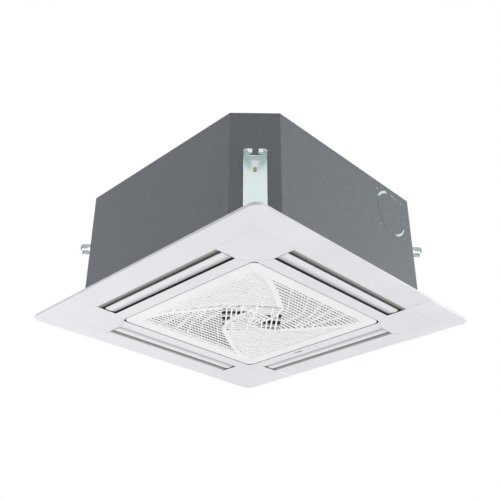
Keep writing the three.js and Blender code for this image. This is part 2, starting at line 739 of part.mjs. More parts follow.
function fanNut() {
  const top = HUB_BOTTOM - FIT;
  const hex = prism(hexagon(0, 0, NUT_WIDTH), top - NUT_HEIGHT, top);
  return cut(hex, cylinderZ(0, 0, SHAFT_RADIUS + PIN_ROOM, top - NUT_HEIGHT - 1, top + 1, 16));
}

function fanMotor() {
  const body = turned([
    [0, MOTOR_BOTTOM], [MOTOR_RADIUS / 2, MOTOR_BOTTOM], [MOTOR_RADIUS / 2 + 2, MOTOR_BOTTOM + 8],
    [MOTOR_RADIUS - 3, MOTOR_BOTTOM + 8], [MOTOR_RADIUS, MOTOR_BOTTOM + 11], [MOTOR_RADIUS, MOTOR_TOP],
    [0, MOTOR_TOP],
  ], 32);
  const bore = cylinderZ(0, 0, SHAFT_RADIUS + FIT, MOTOR_BOTTOM - 1, MOTOR_BOTTOM + MOTOR_BORE_DEPTH, 16);
  return cut(body, bore);
}

function motorBracket() {
  return cylinderZ(0, 0, BRACKET_RADIUS, MOTOR_TOP + FIT, LINER_TOP, 32);
}

function fan() {
  add("turbo_fan", turboFan(), blackPlastic());
  add("motor_shaft", motorShaft(), finish(0x9a9da0, 0.3, 1));
  add("fan_nut", fanNut(), zincYellow());
  add("fan_motor", fanMotor(), finish(0x3a3c40, 0.45, 0.4));
  add("motor_bracket", motorBracket(), galvanised());
}

// ---- Bell mouth, drain pan and pump -------------------------------------------------------

// The ring that leads the air from the filter into the eye of the fan.
function bellMouth() {
  const flangeTop = CASING_BOTTOM - BELL_FLANGE_ROOM;
  const flangeLow = flangeTop - BELL_SKIN;
  const low = [];
  const high = [];
  for (let i = 0; i <= 4; i += 1) {
    const angle = (QUARTER * i) / 4;
    const r = BELL_CURVE * (1 - Math.sin(angle));
    const z = BELL_CURVE * (1 - Math.cos(angle));
    low.push([BELL_THROAT + r, flangeLow + z]);
    high.push([BELL_THROAT + BELL_SKIN + (r * (BELL_CURVE - BELL_SKIN)) / BELL_CURVE, flangeTop + z]);
  }
  return turned([
    [BELL_FLANGE, flangeLow], [BELL_FLANGE, flangeTop], ...high, [BELL_THROAT + BELL_SKIN, BELL_TOP],
    [BELL_THROAT, BELL_TOP], ...low.reverse(), [BELL_FLANGE, flangeLow],
  ], 28);
}

// Foam tray under the coil: it catches the water and carries the outlet ducts through.
function drainPan() {
  const block = prism(octagon(CASING_HALF, CORNER_CUT, SHEET + FIT), PAN_BOTTOM, PAN_TOP);
  const slotHalf = OUTLET_HALF - 3;
  const slot = boxGeometry(OUTLET_IN, OUTLET_OUT + 2, -slotHalf, slotHalf, PAN_BOTTOM - 1, PAN_TOP + 1);
  const troughOut = COIL_OUT + TROUGH_ROOM;
  const troughIn = COIL_IN - TROUGH_ROOM;
  const troughOuter = roundedSquare(troughOut, COIL_CORNER + TROUGH_ROOM);
  const troughInner = roundedSquare(troughIn, COIL_CORNER - COIL_DEPTH - TROUGH_ROOM);
  const trough = ring(troughOuter, troughInner, TROUGH_FLOOR, PAN_TOP + 1);
  const sumpNear = OUTLET_HALF + 3;
  const sump = box(sumpNear, SUMP_FAR, sumpNear, SUMP_FAR - 6, TROUGH_FLOOR, PAN_TOP + 1);
  const boxHalf = BOX_LENGTH / 2 + FIT;
  const boxRoom = box(BOX_NEAR - FIT, BOX_FAR + FIT, -boxHalf, boxHalf, PAN_BOTTOM - 1, BOX_TOP + FIT);
  const motorTop = PIVOT_Z + VANE_MOTOR_RADIUS + 1;
  const motorRoom = boxGeometry(
    PIVOT_N - VANE_MOTOR_RADIUS - 1, PIVOT_N + VANE_MOTOR_RADIUS + 1, VANE_MOTOR_START - 1,
    VANE_MOTOR_START + VANE_MOTOR_LENGTH + 1, PAN_BOTTOM - 1, motorTop,
  );
  return cut(
    block, ...onFourSides(slot), cylinderZ(0, 0, PAN_HOLE, PAN_BOTTOM - 1, PAN_TOP + 1, 36),
    trough, sump, boxRoom, ...onFourSides(motorRoom),
    ...panelScrewHoles(SCREW_RADIUS + 1.5, PAN_BOTTOM - 1, PAN_BOTTOM + 14),
  );
}

// Pump with an arm that carries the float's stem.
function drainPump() {
  const foot = TROUGH_FLOOR + 4;
  const body = cylinderZ(PUMP_X, PUMP_Y, PUMP_RADIUS, foot + 16, PUMP_TOP, 24);
  const inlet = cylinderZ(PUMP_X, PUMP_Y, PUMP_RADIUS * 0.6, foot, foot + 18, 16);
  const armZ = PUMP_TOP - 30;
  const arm = box(FLOAT_X - 5, PUMP_X, FLOAT_Y - 5, FLOAT_Y + 5, armZ, armZ + 8);
  const web = box(PUMP_X - 5, PUMP_X + 5, PUMP_Y, FLOAT_Y + 5, armZ, armZ + 8);
  const stem = cylinderZ(FLOAT_X, FLOAT_Y, STEM_RADIUS, foot, armZ + 1, 10);
  return join(body, inlet, arm, web, stem);
}

function floatRing() {
  const low = TROUGH_FLOOR + 5;
  const puck = cylinderZ(FLOAT_X, FLOAT_Y, FLOAT_RADIUS, low, low + FLOAT_HEIGHT, 20);
  return cut(puck, cylinderZ(FLOAT_X, FLOAT_Y, STEM_RADIUS + PIN_ROOM, low - 1, low + FLOAT_HEIGHT + 1, 10));
}

function drainPipe() {
  const start = new THREE.Vector3(PUMP_X, PUMP_Y, PUMP_TOP + FIT);
  const corner = new THREE.Vector3(PUMP_X, PUMP_Y, DRAIN_Z);
  const end = new THREE.Vector3(CASING_HALF + PIPE_REACH, PUMP_Y, DRAIN_Z);
  return hollowTube(elbow(start, corner, end, PIPE_BEND), DRAIN_RADIUS, DRAIN_WALL, 14);
}

function water() {
  add("bell_mouth", bellMouth(), blackPlastic());
  add("drain_pan", drainPan(), whiteFoam());
  add("drain_pump", drainPump(), whitePlastic());
  add("float", floatRing(), finish(0xd94f2a, 0.6, 0));
  add("drain_pipe", drainPipe(), finish(0x8d9194, 0.5, 0));
}

// ---- Controls -----------------------------------------------------------------------------

function controlBox() {
  const half = BOX_LENGTH / 2;
  const tray = box(BOX_NEAR, BOX_FAR, -half, half, PAN_BOTTOM, BOX_TOP);
  const room = box(
    BOX_NEAR + BOX_WALL, BOX_FAR - BOX_WALL, -half + BOX_WALL, half - BOX_WALL,
    PAN_BOTTOM - 1, BOX_TOP - BOX_WALL,
  );
  return cut(tray, room);
}

function controlBoxLid() {
  const half = BOX_LENGTH / 2;
  const top = PAN_BOTTOM - FIT;
  return box(BOX_NEAR, BOX_FAR, -half, half, top - LID_THICKNESS, top);
}

function circuitBoard() {
  const half = BOX_LENGTH / 2 - BOX_WALL - FIT;
  const top = BOX_TOP - BOX_WALL - 4;
  const near = BOX_NEAR + BOX_WALL + FIT;
  const far = BOX_FAR - BOX_WALL - FIT;
  return box(near, far, -half + TERMINAL_ROOM, half, top - BOARD_THICKNESS, top);
}

function terminalBlock() {
  const low = -BOX_LENGTH / 2 + BOX_WALL + 4;
  const top = BOX_TOP - BOX_WALL - FIT;
  const high = low + TERMINAL_LENGTH;
  const body = box(BOX_NEAR + 4, BOX_FAR - 4, low, high, top - TERMINAL_HEIGHT, top);
  const slots = [0, 1, 2].map((i) => {
    const start = low + 5 + TERMINAL_PITCH * i;
    const floor = top - TERMINAL_SLOT;
    return box(BOX_NEAR, BOX_FAR, start, start + TERMINAL_SLOT, floor - TERMINAL_SLOT, floor);
  });
  return cut(body, ...slots);
}

function cableGrommet() {
  const lipRadius = GROMMET_RADIUS + GROMMET_LIP;
  const face = CASING_HALF + FIT;
  const neck = cylinderXGeometry(GROMMET_Y, GROMMET_Z, GROMMET_RADIUS, CASING_HALF - FOAM, face + 1, 16);
  const lip = cylinderXGeometry(GROMMET_Y, GROMMET_Z, lipRadius, face, face + 3, 16);
  return cut(join(solid(neck), solid(lip)), cableHole(CASING_HALF - FOAM - 1, GROMMET_BORE).add(
    solid(cylinderXGeometry(GROMMET_Y, GROMMET_Z, GROMMET_BORE, CASING_HALF, CASING_HALF + 6)),
  ));
}

function controls() {
  add("control_box", controlBox(), galvanised());
  add("control_box_lid", controlBoxLid(), galvanised());
  add("circuit_board", circuitBoard(), finish(0x2f6b46, 0.5, 0));
  add("terminal_block", terminalBlock(), whitePlastic());
  add("cable_grommet", cableGrommet(), finish(0x1b1c1e, 0.8, 0));
}

// ---- Decorative panel ---------------------------------------------------------------------

// The panel's plain body: a flat middle, sloping facets mitred at the corners, and a low rim.
function panelBody() {
  const diagonal = Math.SQRT2;
  const facets = new THREE.LatheGeometry([
    new THREE.Vector2(0, -PANEL_DROP),
    new THREE.Vector2(FACET_IN * diagonal, -PANEL_DROP),
    new THREE.Vector2(PANEL_HALF * diagonal, -RIM_HEIGHT),
    new THREE.Vector2(PANEL_HALF * diagonal, 0),
    new THREE.Vector2(0, 0),
  ], 4).rotateX(QUARTER).rotateZ(QUARTER / 2);
  const trimmed = solid(facets).intersect(prism(roundedSquare(PANEL_HALF, PANEL_RADIUS), -PANEL_DROP - 1, 1));
  return join(trimmed, prism(roundedSquare(PANEL_FLANGE, PANEL_RADIUS / 2), -1, PANEL_TOP));
}

// The outlet through the panel: a straight duct that flares out at its lower, outer edge.
function outletGeometry() {
  const below = -PANEL_DROP - 1;
  const flare = new THREE.Shape();
  flare.moveTo(OUTLET_IN, below);
  flare.lineTo(FLARE_OUT, below);
  flare.lineTo(FLARE_OUT, -PANEL_DROP);
  const centreZ = -PANEL_DROP + FLARE_HEIGHT;
  for (let i = 1; i <= FLARE_STEPS; i += 1) {
    const angle = (QUARTER * i) / FLARE_STEPS;
    flare.lineTo(FLARE_OUT - FLARE_WIDTH * Math.sin(angle), centreZ - FLARE_HEIGHT * Math.cos(angle));
  }
  flare.lineTo(OUTLET_OUT, PANEL_TOP + 1);
  flare.lineTo(OUTLET_IN, PANEL_TOP + 1);
  return barGeometry(flare, -OUTLET_HALF, OUTLET_HALF);
}

// The shallow scoop in the facet in front of each outlet; it fades out at the rim.
function scoopGeometry() {
  const below = -PANEL_DROP - 1;
  const scoop = shapeOf([
    [FLARE_OUT - 2, below], [PANEL_HALF, below], [PANEL_HALF, -RIM_HEIGHT],
    [FACET_IN, -PANEL_DROP + SCOOP_DEPTH], [FLARE_OUT - 2, -PANEL_DROP + SCOOP_DEPTH],
  ]);
  return barGeometry(scoop, -OUTLET_HALF, OUTLET_HALF);
}

// The outline of a corner cover; gap is taken off all round.
function coverOutline(gap) {
  const near = OUTLET_HALF + COVER_GAP + gap;
  const far = FACET_IN - gap;
  const start = OUTLET_IN - COVER_GAP;
  const bend = OPENING_HALF - COVER_BEND_INSET + gap;
  const outline = new THREE.Shape();
  outline.moveTo(far, near);
  outline.lineTo(far, far);
  outline.lineTo(near, far);
  outline.lineTo(near, start + gap);
  outline.quadraticCurveTo(bend, bend, start + gap, near);
  return outline;
}

// Where each vane's end pins and its motor sit in the panel.
function vaneSeats() {
  const pinHole = cylinderYGeometry(PIVOT_N, PIVOT_Z, PIN_HOLE, -VANE_MOTOR_START, VANE_MOTOR_START + 1, 12);
  const motorRoom = boxGeometry(
    PIVOT_N - VANE_MOTOR_RADIUS - FIT, PIVOT_N + VANE_MOTOR_RADIUS + FIT, VANE_MOTOR_START - FIT,
    VANE_MOTOR_START + VANE_MOTOR_LENGTH + FIT, PIVOT_Z - VANE_MOTOR_RADIUS - FIT, PANEL_TOP + 1,
  );
  return [...onFourSides(pinHole), ...onFourSides(motorRoom)];
}

// Hollows in the panel's back that leave its walls about PANEL_WALL thick.
function backHollows() {
  const half = OUTLET_HALF - PANEL_WALL;
  const floor = -PANEL_DROP + SCOOP_DEPTH + PANEL_WALL;
  const inner = boxGeometry(
    OPENING_HALF + PANEL_WALL + 2, OUTLET_IN - PANEL_WALL, -half + 30, half - 30, floor, PANEL_TOP + 1,
  );
  const outer = boxGeometry(
    FLARE_OUT - PANEL_WALL * 3, PANEL_FLANGE - PANEL_WALL, -half, half, 0, PANEL_TOP + 1,
  );
  return [...onFourSides(inner), ...onFourSides(outer)];
}

function lampPlaces() {
  return Array.from({ length: LAMP_COUNT }, (value, i) => LAMP_START + LAMP_PITCH * i);
}

// Holes for the signal window and the lamps in the border on the right.
function signalHoles() {
  const floor = -PANEL_DROP + SCOOP_DEPTH + PANEL_WALL + 1;
  const halfWide = WINDOW_WIDTH / 2 + FIT;
  const halfLong = WINDOW_LENGTH / 2 + FIT;
  const window = box(
    SIGNAL_X - halfWide, SIGNAL_X + halfWide, WINDOW_CENTRE - halfLong, WINDOW_CENTRE + halfLong,
    -PANEL_DROP - 1, floor,
  );
  const lamps = lampPlaces().map((y) => cylinderZ(SIGNAL_X, y, LAMP_RADIUS + FIT, -PANEL_DROP - 1, floor, 8));
  return [window, ...lamps];
}

// Blind holes in the sides of the opening for the grille's hinge pins.
function hingeHoles() {
  const reach = OPENING_HALF + HINGE_PIN_REACH + 1;
  return [solid(cylinderXGeometry(HINGE_Y, HINGE_Z, HINGE_PIN_RADIUS + PIN_ROOM, -reach, reach, 12))];
}

function panelFrame() {
  const opening = prism(roundedSquare(OPENING_HALF, OPENING_RADIUS), -PANEL_DROP - 1, PANEL_TOP + 1);
  const coverSeat = prismGeometry(coverOutline(0), -PANEL_DROP - 1, COVER_FLOOR, 6);
  return cut(
    panelBody(), opening, ...onFourSides(outletGeometry()), ...onFourSides(scoopGeometry()),
    ...onFourSides(coverSeat), ...vaneSeats(), ...backHollows(), ...signalHoles(), ...hingeHoles(),
    ...panelScrewHoles(SCREW_HOLE, -PANEL_DROP, PANEL_TOP + 1),
    ...panelScrewHoles(SCREW_HEAD_RADIUS + 1, -PANEL_DROP, COVER_FLOOR + SCREW_HEAD_HEIGHT + 2),
  );
}

function cornerCover() {
  return prism(coverOutline(COVER_GAP), -PANEL_DROP, COVER_FLOOR - FIT, 6);
}

function panelScrew() {
  const seat = COVER_FLOOR + SCREW_HEAD_HEIGHT + 2 - FIT;
  const head = cylinderZ(SCREW_XY, SCREW_XY, SCREW_HEAD_RADIUS, seat - SCREW_HEAD_HEIGHT, seat, 12);
  return join(head, cylinderZ(SCREW_XY, SCREW_XY, SCREW_RADIUS, seat - 1, PAN_BOTTOM + 10, 8));
}

// The vane's section: flush below when shut, its inner edge curling up. Local X is outwards.
function vaneSection() {
  const inner = OUTLET_IN + VANE_INNER_GAP;
  const outer = OUTLET_OUT - FIT;
  const low = -PANEL_DROP + 0.6;
  const curl = low + 6;
  const section = new THREE.Shape();
  section.moveTo(inner, curl);
  section.quadraticCurveTo(inner + 0.5, low + 0.2, inner + 8, low);
  section.lineTo(outer, low + 0.8);
  section.lineTo(outer, low + 0.8 + VANE_THICKNESS * 0.7);
  section.lineTo(inner + 8, low + VANE_THICKNESS);
  const bend = inner + VANE_THICKNESS;
  section.quadraticCurveTo(bend + 0.8, low + VANE_THICKNESS + 0.4, bend, curl);
  return section;
}

// An ear that carries the vane up to its pivot.
function earSection() {
  const low = -PANEL_DROP + 0.6 + VANE_THICKNESS / 2;
  return shapeOf([
    [PIVOT_N - 2, low], [PIVOT_N + 9, low], [PIVOT_N + PIN_RADIUS + 1, PIVOT_Z],
    [PIVOT_N + 2, PIVOT_Z + PIN_RADIUS + 1], [PIVOT_N - 2, PIVOT_Z + PIN_RADIUS + 1],
    [PIVOT_N - PIN_RADIUS - 1, PIVOT_Z],
  ]);
}

function vane() {
  const blade = solid(barGeometry(vaneSection(), -VANE_HALF, VANE_HALF, 4));
  const ears = [-VANE_HALF, VANE_HALF - EAR_THICKNESS].map((start) =>
    solid(barGeometry(earSection(), start, start + EAR_THICKNESS)));
  const root = VANE_HALF - 1;
  const farPin = solid(cylinderYGeometry(PIVOT_N, PIVOT_Z, PIN_RADIUS, 1 - VANE_MOTOR_START, -root, 12));
  const drive = solid(cylinderYGeometry(PIVOT_N, PIVOT_Z, PIN_RADIUS, root, VANE_MOTOR_START + 6, 12));
  return join(blade, ...ears, farPin, drive);
}

function vaneMotor() {
  const end = VANE_MOTOR_START + VANE_MOTOR_LENGTH;
  const body = solid(cylinderYGeometry(PIVOT_N, PIVOT_Z, VANE_MOTOR_RADIUS, VANE_MOTOR_START, end, 20));
  const depth = VANE_MOTOR_START + 8;
  return cut(body, solid(cylinderYGeometry(PIVOT_N, PIVOT_Z, PIN_HOLE, VANE_MOTOR_START - 1, depth)));
}

function panelSeal() {
  const outer = roundedSquare(PANEL_FLANGE - 1, PANEL_RADIUS / 2);
  const inner = roundedSquare(PANEL_FLANGE - 9, PANEL_RADIUS / 2);
  return ring(outer, inner, PANEL_TOP + FIT, CASING_BOTTOM - FIT);
}

function signalWindow() {
  const halfWide = WINDOW_WIDTH / 2;
  const halfLong = WINDOW_LENGTH / 2;
  return box(
    SIGNAL_X - halfWide, SIGNAL_X + halfWide, WINDOW_CENTRE - halfLong, WINDOW_CENTRE + halfLong,
    -PANEL_DROP, -PANEL_DROP + SCOOP_DEPTH + PANEL_WALL,
  );
}

// One moulding whose pegs bring the lamps' light to the panel's face.
function lightGuide() {
  const places = lampPlaces();
  const floor = -PANEL_DROP + SCOOP_DEPTH + PANEL_WALL + FIT;
  const bar = box(SIGNAL_X - 3, SIGNAL_X + 3, places[0] - 4, places[LAMP_COUNT - 1] + 4, floor, floor + 2);
  const pegs = places.map((y) => cylinderZ(SIGNAL_X, y, LAMP_RADIUS, -PANEL_DROP, floor + 1, 8));
  return join(bar, ...pegs);
}

function displayBoard() {
  const low = -PANEL_DROP + SCOOP_DEPTH + PANEL_WALL + FIT * 2 + 3;
  const half = DISPLAY_WIDTH / 2;
  const high = WINDOW_CENTRE + 18;
  return box(SIGNAL_X - half, SIGNAL_X + half, LAMP_START - 10, high, low, low + BOARD_THICKNESS);
}

function panel() {
  add("panel_frame", panelFrame(), whitePlastic());
  add("panel_seal", panelSeal(), blackPlastic());
  SIDES.forEach((side, turns) => {
    const turn = turns * QUARTER;
    add(`vane_${side}`, vane(), whitePlastic(), { turn });
    add(`vane_motor_${side}`, vaneMotor(), finish(0xb9bdc2, 0.4, 0.6), { turn });
  });
  CORNERS.forEach((corner, turns) => {
    const turn = turns * QUARTER;
    add(`corner_cover_${corner}`, cornerCover(), whitePlastic(), { turn });
    add(`panel_screw_${corner}`, panelScrew(), zincYellow(), { turn });
  });
  add("signal_window", signalWindow(), finish(0xb9bdc4, 0.25, 0));
  add("light_guide", lightGuide(), finish(0xcdd1d6, 0.25, 0));
  add("display_board", displayBoard(), finish(0x2f6b46, 0.5, 0));
}

// ---- Intake grille ------------------------------------------------------------------------

// The ridge from the grille's front right corner to the diamond in its middle.
function ridgePoints() {
  const corner = GRILLE_HALF - GRILLE_BORDER;
  return [[corner, -corner], ...RIDGE_BENDS, [DIAMOND_LONG, -DIAMOND_SHORT]];
}

// A line of points made a wall by moving it to both sides by the same offset.
function wallGeometry(points, offsetX, offsetY, z0, z1) {
  const left = points.map(([x, y]) => [x + offsetX, y - offsetY]);
  const right = points.map(([x, y]) => [x - offsetX, y + offsetY]).reverse();
  return prismGeometry(shapeOf([...left, ...right]), z0, z1);
}

// The ridge as a narrow curved wall, standing as deep as the grille.
function ridgeGeometry() {
  const half = RIDGE_WIDTH / 2;
  return wallGeometry(ridgePoints(), half, half, -PANEL_DROP + FACE_STEP, GRILLE_TOP - FACE_STEP);
}

// The deep fins that lean across the front sector behind its slats, from the border to the diamond.
function fins() {
  const edge = -GRILLE_HALF + GRILLE_BORDER - 1;
  const low = -PANEL_DROP + DISH + 2 * FACE_STEP;
  const top = GRILLE_TOP - 2 * FACE_STEP;
  return FIN_LINES.map(({ start, bends }) => wallGeometry([[start, edge], ...bends], FIN_WIDTH / 2, 0, low, top));
}

// The slats of the front sector, each from the left ridge or the diamond to the right ridge.
function slats() {
  const corner = GRILLE_HALF - GRILLE_BORDER;
  const ridge = ridgePoints().map(([x, y]) => new THREE.Vector2(x, y));
  const rightAt = (y) => {
    const i = ridge.findIndex((point, k) => k < ridge.length - 1 && ridge[k + 1].y >= y);
    const share = (y - ridge[i].y) / (ridge[i + 1].y - ridge[i].y);
    return ridge[i].x + share * (ridge[i + 1].x - ridge[i].x);
  };
  const leftEnds = ridge.map((point) => new THREE.Vector2(point.y, -point.x));
  leftEnds.push(new THREE.Vector2(DIAMOND_LONG, -DIAMOND_SHORT));
  const leftAt = (y) => {
    const i = leftEnds.findIndex((point, k) => k < leftEnds.length - 1 && leftEnds[k + 1].y >= y);
    const share = (y - leftEnds[i].y) / (leftEnds[i + 1].y - leftEnds[i].y);
    return leftEnds[i].x + share * (leftEnds[i + 1].x - leftEnds[i].x);
  };
  const bars = [];
  for (let y = -corner + SLAT_PITCH; y < -DIAMOND_SHORT - SLAT_PITCH; y += SLAT_PITCH) {
    const low = -PANEL_DROP + 2 * FACE_STEP + DISH * (1 + y / corner);
    const half = SLAT_WIDTH / 2;
    bars.push(boxGeometry(leftAt(y), rightAt(y), y - half, y + half, low, low + SLAT_DEPTH));
  }
  return bars;
}

function intakeGrille() {
  const corner = GRILLE_HALF - GRILLE_BORDER;
  const border = ring(
    roundedSquare(GRILLE_HALF, GRILLE_RADIUS), roundedSquare(corner, 2), -PANEL_DROP, GRILLE_TOP,
  );
  const ridges = onFourSides(ridgeGeometry());
  const rows = slats().flatMap(onFourSides);
  const long = DIAMOND_LONG;
  const short = DIAMOND_SHORT;
  const inner = long - DIAMOND_WALL;
  const diamond = ring(
    shapeOf([[long, -short], [short, long], [-long, short], [-short, -long]]),
    shapeOf([[inner, -short], [short, inner], [-inner, short], [-short, -inner]]),
    -PANEL_DROP + DISH, GRILLE_TOP - 3 * FACE_STEP,
  );
  const armHalf = RIDGE_WIDTH / 2;
  const arm = boxGeometry(0, long - 2, -short - armHalf, -short + armHalf, DISH - PANEL_DROP + 1, 0);
  const core = prism(roundedSquare(CORE_HALF, 3), -PANEL_DROP + DISH + FACE_STEP, GRILLE_TOP - 4 * FACE_STEP);
  const pins = [-1, 1].map((side) => {
    const from = side * (GRILLE_HALF - GRILLE_RADIUS);
    const to = side * (OPENING_HALF + HINGE_PIN_REACH);
    const ends = [Math.min(from, to), Math.max(from, to)];
    return solid(cylinderXGeometry(HINGE_Y, HINGE_Z, HINGE_PIN_RADIUS, ...ends, 12));
  });
  const walls = fins().flatMap(onFourSides);
  const seats = [catchSeat(-CATCH_SPREAD), catchSeat(CATCH_SPREAD)];
  return join(border, ...ridges, ...rows, ...walls, diamond, ...onFourSides(arm), core, ...pins, ...seats);
}

// The raised seat on the grille's border that carries a catch above the panel's opening wall.
function catchSeat(x) {
  const half = CATCH_WIDTH / 2;
  const front = -GRILLE_HALF + 1;
  return box(x - half, x + half, front, front + CATCH_LENGTH - 2, GRILLE_TOP - 1, CATCH_SEAT_TOP);
}

function airFilter() {
  const half = GRILLE_HALF - FILTER_INSET;
  const low = GRILLE_TOP + FIT;
  return prism(roundedSquare(half, GRILLE_RADIUS / 2), low, low + FILTER_THICKNESS);
}

// A sliding catch on its seat on the grille's front border.
function grilleCatch(x) {
  const nose = -OPENING_HALF + GRILLE_GAP / 2;
  const low = CATCH_SEAT_TOP + FIT;
  return box(x - CATCH_WIDTH / 2, x + CATCH_WIDTH / 2, nose, nose + CATCH_LENGTH, low, low + CATCH_HEIGHT);
}

function grille() {
  add("intake_grille", intakeGrille(), whitePlastic());
  add("air_filter", airFilter(), blackPlastic());
  add("grille_catch_left", grilleCatch(-CATCH_SPREAD), finish(0xd8dadc, 0.4, 0));
  add("grille_catch_right", grilleCatch(CATCH_SPREAD), finish(0xd8dadc, 0.4, 0));
}

casing();
heatExchanger();
fan();
water();
controls();
panel();
grille();

export default unit;
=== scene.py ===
"""Ceiling cassette air conditioner, dressed over its CAD frame."""
import math

import bmesh
import bpy
from bpy.props import FloatProperty, FloatVectorProperty, PointerProperty
from mathutils import Matrix, Vector


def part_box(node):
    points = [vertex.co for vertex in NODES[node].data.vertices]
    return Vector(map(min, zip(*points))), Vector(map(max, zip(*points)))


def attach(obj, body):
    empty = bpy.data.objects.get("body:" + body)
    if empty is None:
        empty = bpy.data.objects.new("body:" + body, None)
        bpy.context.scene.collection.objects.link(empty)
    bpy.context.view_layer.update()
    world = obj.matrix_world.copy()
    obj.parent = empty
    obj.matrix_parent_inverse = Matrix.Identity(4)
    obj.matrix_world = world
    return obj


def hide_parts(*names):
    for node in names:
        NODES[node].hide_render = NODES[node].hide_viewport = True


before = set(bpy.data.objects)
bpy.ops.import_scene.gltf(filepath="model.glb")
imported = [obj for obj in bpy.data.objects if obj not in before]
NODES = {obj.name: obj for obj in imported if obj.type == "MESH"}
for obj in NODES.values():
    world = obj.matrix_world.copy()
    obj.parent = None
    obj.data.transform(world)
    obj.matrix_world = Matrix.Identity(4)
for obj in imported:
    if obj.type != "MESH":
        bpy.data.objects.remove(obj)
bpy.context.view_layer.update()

bl_info = {
    "name": "Ceiling Cassette",
    "version": (1, 0, 0),
    "blender": (4, 5, 0),
    "location": "3D View > Sidebar > Cassette",
    "description": "Ceiling cassette air conditioner with vaned outlets and a swirled intake grille",
    "category": "Object",
}

CORNERS = ("back_right", "back_left", "front_left", "front_right")
SIDES = ("right", "back", "left", "front")
QUARTER = math.pi / 2

# Corners of the CAD nodes' boxes, in metres
CASING_LOW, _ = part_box("side_wrap")
_, PANEL_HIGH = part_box("panel_frame")
GRILLE_LOW, GRILLE_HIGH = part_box("intake_grille")
FILTER_LOW, FILTER_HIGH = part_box("air_filter")
COIL_LOW, COIL_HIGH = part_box("coil")


# ---- Colours, nodes and materials ------------------------------------------------------------

def linear(hex_colour):
    """An sRGB hex colour as linear RGBA."""
    parts = [int(hex_colour[i:i + 2], 16) / 255 for i in (1, 3, 5)]
    curve = [c / 12.92 if c <= 0.04045 else ((c + 0.055) / 1.055) ** 2.4 for c in parts]
    return (*curve, 1.0)


def shaded(colour, share, lift=0.0):
    """A colour made darker or paler by a share, and no brighter than white."""
    return (*(min(c * share + lift, 1) for c in colour[:3]), 1.0)


def add_node(tree, kind, inputs=None, **settings):
    """Adds a node with its properties and inputs; an input links to a socket or to a node's first output."""
    made = tree.nodes.new(kind)
    for name, value in settings.items():
        setattr(made, name, value)
    for name, value in (inputs or {}).items():
        if isinstance(value, bpy.types.Node):
            value = value.outputs[0]
        if isinstance(value, bpy.types.NodeSocket):
            tree.links.new(value, made.inputs[name])
        else:
            made.inputs[name].default_value = value
    return made


class Finish:
    """A material under construction: its tree, its shader and the colour laid on so far."""

    def __init__(self, name, colour, roughness, metallic=0.0, **sockets):
        self.material = bpy.data.materials.new(name)
        self.material.use_nodes = True
        self.tree = self.material.node_tree
        self.tree.nodes.clear()
        self.paint = colour
        self.rough = roughness
        self.shader = self.add("ShaderNodeBsdfPrincipled", {
            "Base Color": colour, "Roughness": roughness, "Metallic": metallic, **sockets,
        })
        self.add("ShaderNodeOutputMaterial", {"Surface": self.shader})
        self.place = self.add("ShaderNodeTexCoord").outputs["Object"]

    def add(self, kind, inputs=None, **settings):
        return add_node(self.tree, kind, inputs, **settings)

    def feed(self, socket, output):
        self.tree.links.new(output, self.shader.inputs[socket])

    def pattern(self, kind, size, inputs=None, stretch=None, **settings):
        """A texture of features about size metres across, on the piece's own coordinates."""
        place = self.place
        if stretch:
            place = self.add("ShaderNodeMapping", {"Vector": place, "Scale": stretch})
        inputs = {"Vector": place, "Scale": 1 / size, **(inputs or {})}
        return self.add(f"ShaderNodeTex{kind}", inputs, **settings)

    def outwards(self):
        """How far a point lies from the middle of the panel, square to its nearest side."""
        place = self.add("ShaderNodeSeparateXYZ", {"Vector": self.place}).outputs
        sides = [self.add("ShaderNodeMath", {0: place[k]}, operation="ABSOLUTE") for k in (0, 1)]
        return self.add("ShaderNodeMath", dict(enumerate(sides)), operation="MAXIMUM")

    def coat(self, pattern, colour, low=0.0, high=1.0, most=1.0, under=None):
        """Lays a colour over what is there, or over under: none where the pattern is low, most where high."""
        share = self.add("ShaderNodeMapRange", {0: pattern, 1: low, 2: high, 4: most})
        layers = {0: share, 6: under or self.paint, 7: colour}
        self.paint = self.add("ShaderNodeMix", layers, data_type="RGBA").outputs[2]
        self.feed("Base Color", self.paint)

    def uneven(self, pattern, less, more, low=0.3, high=0.7):
        """Lets the roughness wander with a pattern, from less below its own value to more above it."""
        wander = {0: pattern, 1: low, 2: high, 3: self.rough - less, 4: self.rough + more}
        self.feed("Roughness", self.add("ShaderNodeMapRange", wander).outputs[0])

    def emboss(self, pattern, depth, strength):
        """Gives the surface a relief of depth metres."""
        relief = {"Height": pattern, "Distance": depth, "Strength": strength}
        self.feed("Normal", self.add("ShaderNodeBump", relief).outputs[0])


def galvanised_sheet(name, settings):
    """Hot-dipped galvanised steel with minimised spangle: dull grey with small lighter and darker flecks."""
    base = settings.sheet_colour
    made = Finish(name, base, 0.5, 0.35)
    spangle = made.pattern("Voronoi", settings.fleck_size)
    fine = made.pattern("Noise", settings.fleck_size * 0.55, {"Detail": 3.0, "Roughness": 0.6})
    made.coat(fine, shaded(base, 1.24), 0.3, 0.7, under=shaded(base, 0.72))
    chance = made.add("ShaderNodeSeparateColor", {"Color": spangle.outputs["Color"]})
    made.coat(chance, linear("#9A9E9C"), 0.8, 1.0, 0.26)
    made.coat(made.pattern("Noise", 0.09), base, 0.3, 0.7, 0.25)
    made.uneven(spangle, 0.08, 0.1, 0.0, 0.7)
    made.emboss(fine, 0.00012, 0.5)
    return made.material


